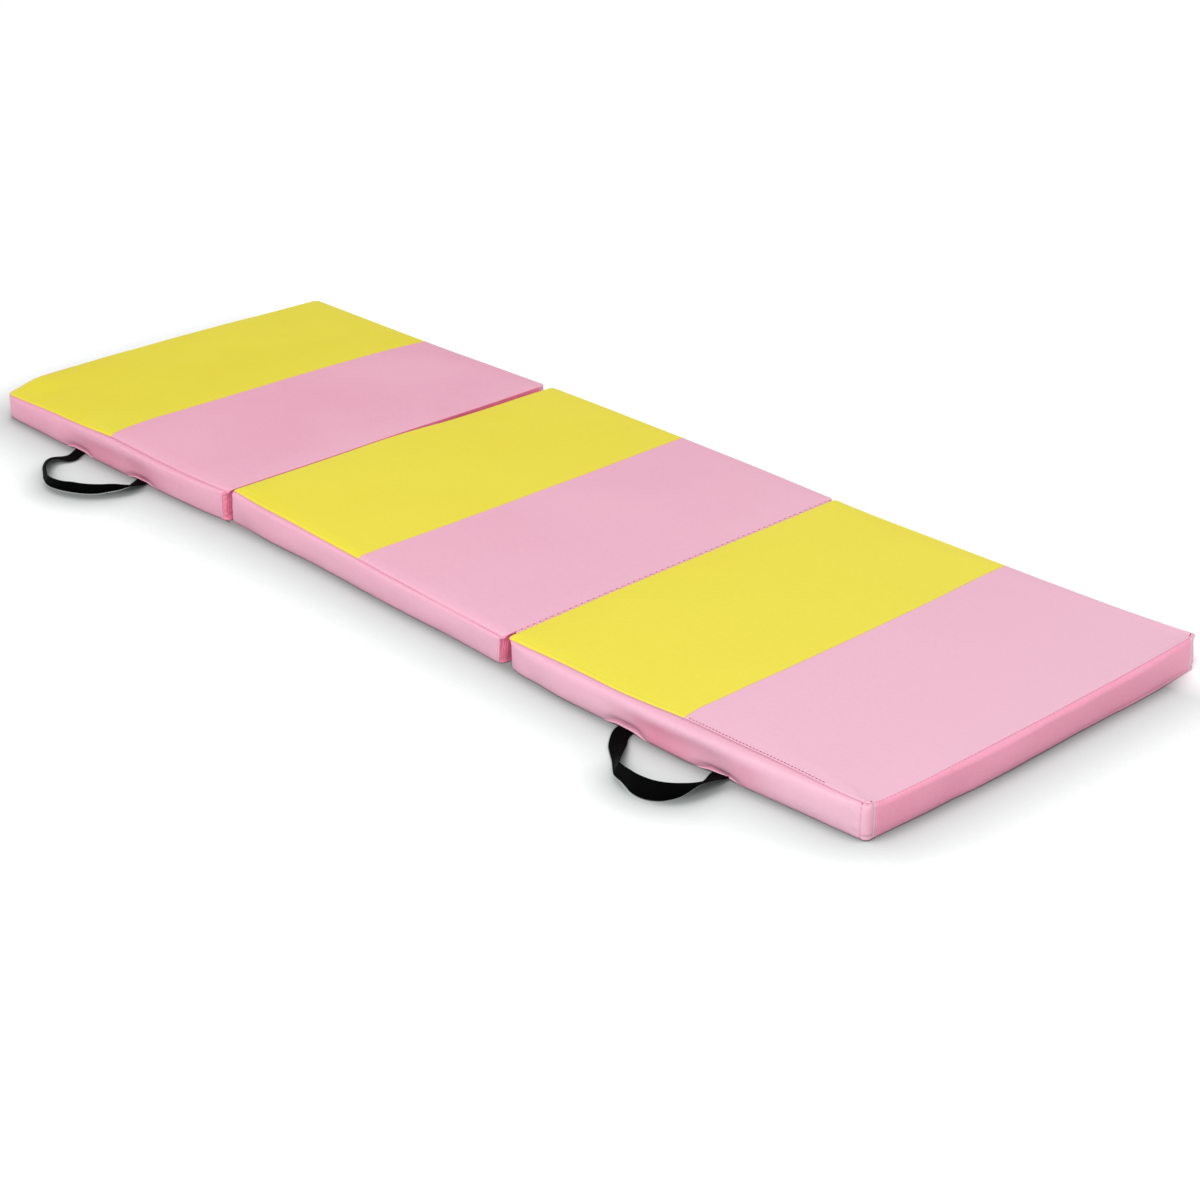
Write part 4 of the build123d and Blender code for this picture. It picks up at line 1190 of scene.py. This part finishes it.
# ------------------------------------------------------------------ webbing handles
STATIONS = {
    "right": [
        ((522, -311.5, 2.0), (548, -311.5, 2.0)), ((525, -330, 1.3), (551, -327, 1.6)), ((529, -341, 1.1), (557, -338, 1.5)),
        ((538, -353, 1), (565, -348, 2)), ((552, -367, 1), (576, -364, 6)), ((566, -378, 1), (589, -381, 9.5)),
        ((581, -389, 1), (601, -394, 15.8)), ((595, -401, 1), (610, -404, 20.9)), ((605, -409, 1), (616.9, -411.5, 24)),
        ((613, -411.5, 1), (624, -414, 24.3)), ((623, -414, 1), (632.6, -416, 25)), ((637, -419, 1), (642.8, -418, 26.2)),
        ((648, -423, 1), (652, -419, 26.4)), ((662, -424, 1), (663.2, -418, 26)), ((675, -421, 1), (676.5, -416, 26.3)),
        ((686, -413, 1), (688, -412, 26.7)), ((692, -403, 1), (698, -404, 26)), ((696, -390, 1), (705, -394, 24.6)),
        ((695, -375, 1), (709, -381, 21.5)), ((692, -358, 1.1), (711, -364, 17.5)), ((689, -342, 1.2), (712, -344, 12.5)),
        ((683, -326, 1.6), (709, -326, 5)), ((681, -311.5, 2.0), (707, -311.5, 2.0)),
    ],
    "left": [
        ((-709, -311.5, 2.0), (-683, -311.5, 2.0)), ((-703, -323, 1.4), (-676, -325, 1.8)), ((-696, -334, 1.1), (-669, -336, 1.6)),
        ((-693, -342, 1.1), (-667, -346, 1.8)), ((-695, -350, 1), (-670, -355, 3)), ((-699, -356, 1), (-675, -361, 5.5)),
        ((-702, -364, 1), (-678, -368, 8)), ((-699, -374, 1), (-677, -377, 10)), ((-689, -385, 1), (-669, -389, 12)),
        ((-676, -395, 1), (-657, -400, 13)), ((-660, -404, 1), (-641, -410, 14.5)), ((-645, -413, 1), (-625, -418, 16)),
        ((-633, -419, 1), (-614, -423.6, 18.2)), ((-617, -424, 1), (-601, -429, 20.5)), ((-600, -424.5, 1), (-585, -429.5, 21.5)),
        ((-580, -420, 1), (-566, -426, 22.5)), ((-562, -412, 1), (-551, -419, 23.5)), ((-546, -402, 1), (-536, -411, 23)),
        ((-533, -388, 1), (-519.5, -395, 22)), ((-527, -371, 1), (-509.5, -375, 19.7)), ((-523, -358, 1.1), (-503, -363, 17)),
        ((-524, -343, 1.3), (-501, -348, 12)), ((-532, -326, 1.7), (-506, -328, 5)), ((-539, -311.5, 2.0), (-513, -311.5, 2.0)),
    ],
}


def webbing(name, stations, width=26.0, thick=1.7):
    """Woven band: lengthwise ribs crossed by picks, selvedge at both edges, twisting through the stations."""
    A = np.array([a for a, b in stations], float)
    B = np.array([b for a, b in stations], float)
    inner = np.array([[0, 22.0, 0]])
    tail = lambda P: np.concatenate([P[:1] + inner, P[:1] + inner * 0.5, P, P[-1:] + inner * 0.5, P[-1:] + inner])
    A, B = tail(A), tail(B)
    A, B = catmull(A, 6, 0), catmull(B, 6, 0)
    M = (A + B) / 2
    s = np.r_[0, np.cumsum(np.linalg.norm(np.diff(M, axis=0), axis=1))]
    t = np.arange(0, s[-1], 1.05)
    pick = lambda P: np.stack([np.interp(t, s, P[:, k]) for k in range(3)], 1)
    M, W = pick(M), pick(B - A)
    W /= np.linalg.norm(W, axis=1, keepdims=True)
    D = np.gradient(M, axis=0)
    D /= np.linalg.norm(D, axis=1, keepdims=True)
    N = np.cross(W, D)
    N /= np.linalg.norm(N, axis=1, keepdims=True)
    nw = 26
    w = np.linspace(-1, 1, nw + 1)
    rib = np.abs(np.sin(np.linspace(0, math.pi * 13, nw + 1)))
    pickrow = (np.arange(len(t)) % 2)
    rows = []
    for face in (1, -1):
        for k in range(nw + 1):
            ed = 1 - 0.55 * abs(w[k]) ** 14
            tex = 0.17 * (rib[k] - 0.5) + 0.10 * (((pickrow + k // 2) % 2) - 0.5)
            off = (thick / 2 * ed + tex * (abs(w[k]) < 0.97)) * face
            kk = k if face == 1 else nw - k
            ww = w[kk]
            rows.append(M + W * (ww * width / 2) + N * off[:, None] if isinstance(off, np.ndarray) else M + W * (ww * width / 2) + N * off)
    P = np.stack(rows, 0)  # round the section, then along
    nr, nl = P.shape[:2]
    F = []
    for i in range(nr):
        a, b = i * nl, ((i + 1) % nr) * nl
        j = np.arange(nl - 1)
        F.append(np.stack([a + j, b + j, b + j + 1, a + j + 1], 1))
    F = np.concatenate(F).tolist()
    F.append([i * nl for i in range(nr)][::-1])
    F.append([i * nl + nl - 1 for i in range(nr)])
    V = P.reshape(-1, 3)
    V[:, 2] = np.maximum(V[:, 2], 0.08)
    ob = new_object(name, V, F, WEB)
    ob.data.polygons[len(F) - 1].use_smooth = False
    ob.data.polygons[len(F) - 2].use_smooth = False
    return ob


for n in ("left", "right"):
    w = webbing(f"{n}_carry_handle", STATIONS[n])
    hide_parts(f"{n}_handle_strap", f"{n}_handle_sewn_tails")
    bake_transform(w)
    tacks = frame["nodes"][f"{n}_handle_bar_tacks"]
    tacks.data.materials.clear()
    tacks.data.materials.append(THREAD_RED)

# ------------------------------------------------------------------ zips
for n in NAMES:
    for part, mat in (("zip_tapes", TAPE_M), ("zip_slider", METAL), ("zip_pull", METAL), ("zip_end_stops", METAL)):
        o = frame["nodes"][f"{n}_{part}"]
        o.data.materials.clear()
        o.data.materials.append(mat)
    lo, hi = COIL[n]
    pitch = 1.3
    xs = np.arange(lo[0] + 0.7, hi[0] - 0.6, pitch)
    yc = (lo[1] + hi[1]) / 2 + 0.1
    A, B = [], []
    for sgn, off in ((1, 0.0), (-1, pitch / 2)):
        for dx in (0,):
            a = np.stack([xs + off, 0 * xs + yc, 0 * xs + ZIPZ + sgn * 0.45], 1)
            b = np.stack([xs + off, 0 * xs + yc, 0 * xs + ZIPZ + sgn * 3.0], 1)
            keep = xs + off < hi[0] - 0.4
            A.append(a[keep]); B.append(b[keep])
    A, B = np.concatenate(A), np.concatenate(B)
    ob = capsules(f"{n}_zip_coil_teeth", A, B, np.tile([1.0, 0, 0], (len(A), 1)), np.tile([0, 1.0, 0], (len(A), 1)), 0.5, 1.05, COIL_M, rings=4, seg=6)
    place(ob, n, "zip_coil", f"{n}_zip_coils")

# ------------------------------------------------------------------ stage
floor_mat = Mat("floor")
# painted contact shadow: the floor's colour darkens with ambient occlusion near the mat, along the SHADE ramp, with a
# faint green-grey tint
near = floor_mat.node("ShaderNodeAmbientOcclusion", samples=24)
near.inputs["Distance"].default_value = 0.32
ramp = floor_mat.node("ShaderNodeValToRGB")
SHADE = [(0.50, 0.27), (0.553, 0.285), (0.60, 0.345), (0.675, 0.44), (0.735, 0.535), (0.81, 0.585), (0.866, 0.625), (0.924, 0.68), (0.955, 0.72), (0.975, 0.78), (0.988, 0.87), (0.995, 0.94), (1.0, 1.0)]
el = ramp.color_ramp.elements
while len(el) < len(SHADE):
    el.new(0.5)
for e, (pos, v) in zip(el, SHADE):
    e.position = pos
    g = 1 + 0.10 * (1 - v)
    e.color = (0.95 * v, 0.95 * v * g, 0.95 * v * (1 + 0.07 * (1 - v)), 1)
floor_mat.link(near.outputs["AO"], ramp.inputs["Fac"])
fxyz = floor_mat.node("ShaderNodeSeparateXYZ")
floor_mat.link(floor_mat.co.outputs["Object"], fxyz.inputs[0])
# the painted shadow fades out to plain white behind the mat
shade = floor_mat.mix(floor_mat.remap(fxyz.outputs["Y"], 0.0, 1.0, 0.24, 0.31), ramp.outputs["Color"], (0.96, 0.96, 0.96, 1))
floor_mat.link(shade, floor_mat.b.inputs["Base Color"])
# painted light: the floor also glows faintly in the same colour, painted shadow included
floor_mat.link(shade, floor_mat.b.inputs["Emission Color"])
floor_mat.b.inputs["Emission Strength"].default_value = 0.10
floor_mat.b.inputs["Roughness"].default_value = 0.9
floor_mat.b.inputs["Specular IOR Level"].default_value = 0.1
floor = new_object("floor", [(-30000, -30000, 0), (30000, -30000, 0), (30000, 30000, 0), (-30000, 30000, 0)], [(0, 1, 2, 3)], floor_mat.m, smooth=False)
floor.location.z = -0.0006


def watch(drv, name, ob, channel):
    v = drv.variables.new()
    v.name = name
    v.type = "TRANSFORMS"
    v.targets[0].id = ob
    v.targets[0].transform_type = channel
    v.targets[0].transform_space = "WORLD_SPACE"
    v.targets[0].rotation_mode = "QUATERNION"


# the floor drops below whatever part hangs lowest
low_points = []
for body, far, along in (("left_panel", (-0.924, 0.0), "x"), ("left_panel", (-0.924, 0.049), "x"), ("left_handle", (-0.431, 0.0), "y"), ("right_handle", (-0.431, 0.0), "y")):
    gauge = bpy.data.objects.new(f"floor_gauge_{len(low_points)}", None)
    COLL.objects.link(gauge)
    d = gauge.driver_add("location", 2).driver
    b = frame["bodies"][body]
    for nm, ch in (("w", "ROT_W"), ("x", "ROT_X"), ("y", "ROT_Y"), ("z", "ROT_Z"), ("t", "LOC_Z")):
        watch(d, nm, b, ch)
    a, h = far
    if along == "x":
        d.expression = f"t + 2*(x*z - w*y)*({a}) + (1 - 2*(x*x + y*y))*{h}"
    else:
        d.expression = f"t + 2*(y*z + w*x)*({a}) + (1 - 2*(x*x + y*y))*{h}"
    low_points.append(gauge)
d = floor.driver_add("location", 2).driver
for k, g in enumerate(low_points):
    watch(d, f"g{k}", g, "LOC_Z")
d.expression = "min(0, g0, g1, g2, g3) - 0.0006"

world = bpy.data.worlds.new("studio")
SC.world = world
world.use_nodes = True
bg = world.node_tree.nodes["Background"]
bg.inputs["Color"].default_value = (1.0, 1.0, 1.0, 1)
bg.inputs["Strength"].default_value = 0.64


def area(name, loc, target, size, power, colour=(1, 1, 1)):
    d = bpy.data.lights.new(name, "AREA")
    d.shape = "RECTANGLE"
    d.size, d.size_y = size
    d.energy = power
    d.color = colour
    o = bpy.data.objects.new(name, d)
    COLL.objects.link(o)
    o.location = loc
    o.rotation_mode = "QUATERNION"
    o.rotation_quaternion = (Vector(target) - Vector(loc)).to_track_quat("-Z", "Y")
    return o


area("key", (1.6, -2.1, 3.0), (0.35, 0, 0), (2.2, 2.2), 56)
sun_d = bpy.data.lights.new("overhead", "SUN")
sun_d.energy = 1.08
sun_d.angle = math.radians(60)
sun = bpy.data.objects.new("overhead", sun_d)
COLL.objects.link(sun)
sun.rotation_mode = "QUATERNION"
sun.rotation_quaternion = Vector((-0.08, 0.62, -1.0)).to_track_quat("-Z", "Y")

# ------------------------------------------------------------------ camera
AZ, EL, ROLL, DIST = math.radians(47.05), math.radians(25.91), math.radians(-0.5), 3.2939
tgt = Vector((0.25009, -0.09829, 0.0))
back = Vector((math.sin(AZ) * math.cos(EL), -math.cos(AZ) * math.cos(EL), math.sin(EL)))
cam_d = bpy.data.cameras.new("camera")
cam_d.lens = 73.175
cam_d.sensor_width = 36.0
cam = bpy.data.objects.new("camera", cam_d)
COLL.objects.link(cam)
right_v = (-back).cross(Vector((0, 0, 1))).normalized()
up_v = right_v.cross(-back)
r2 = right_v * math.cos(ROLL) + up_v * math.sin(ROLL)
u2 = r2.cross(-back)
rot = Matrix((r2, u2, back)).transposed()
cam.rotation_mode = "QUATERNION"
cam.rotation_quaternion = rot.to_quaternion()
cam.location = tgt + back * DIST
cam_d.clip_start, cam_d.clip_end = 0.05, 200.0
SC.camera = cam
SC.view_settings.view_transform = "Standard"
SC.view_settings.look = "None"
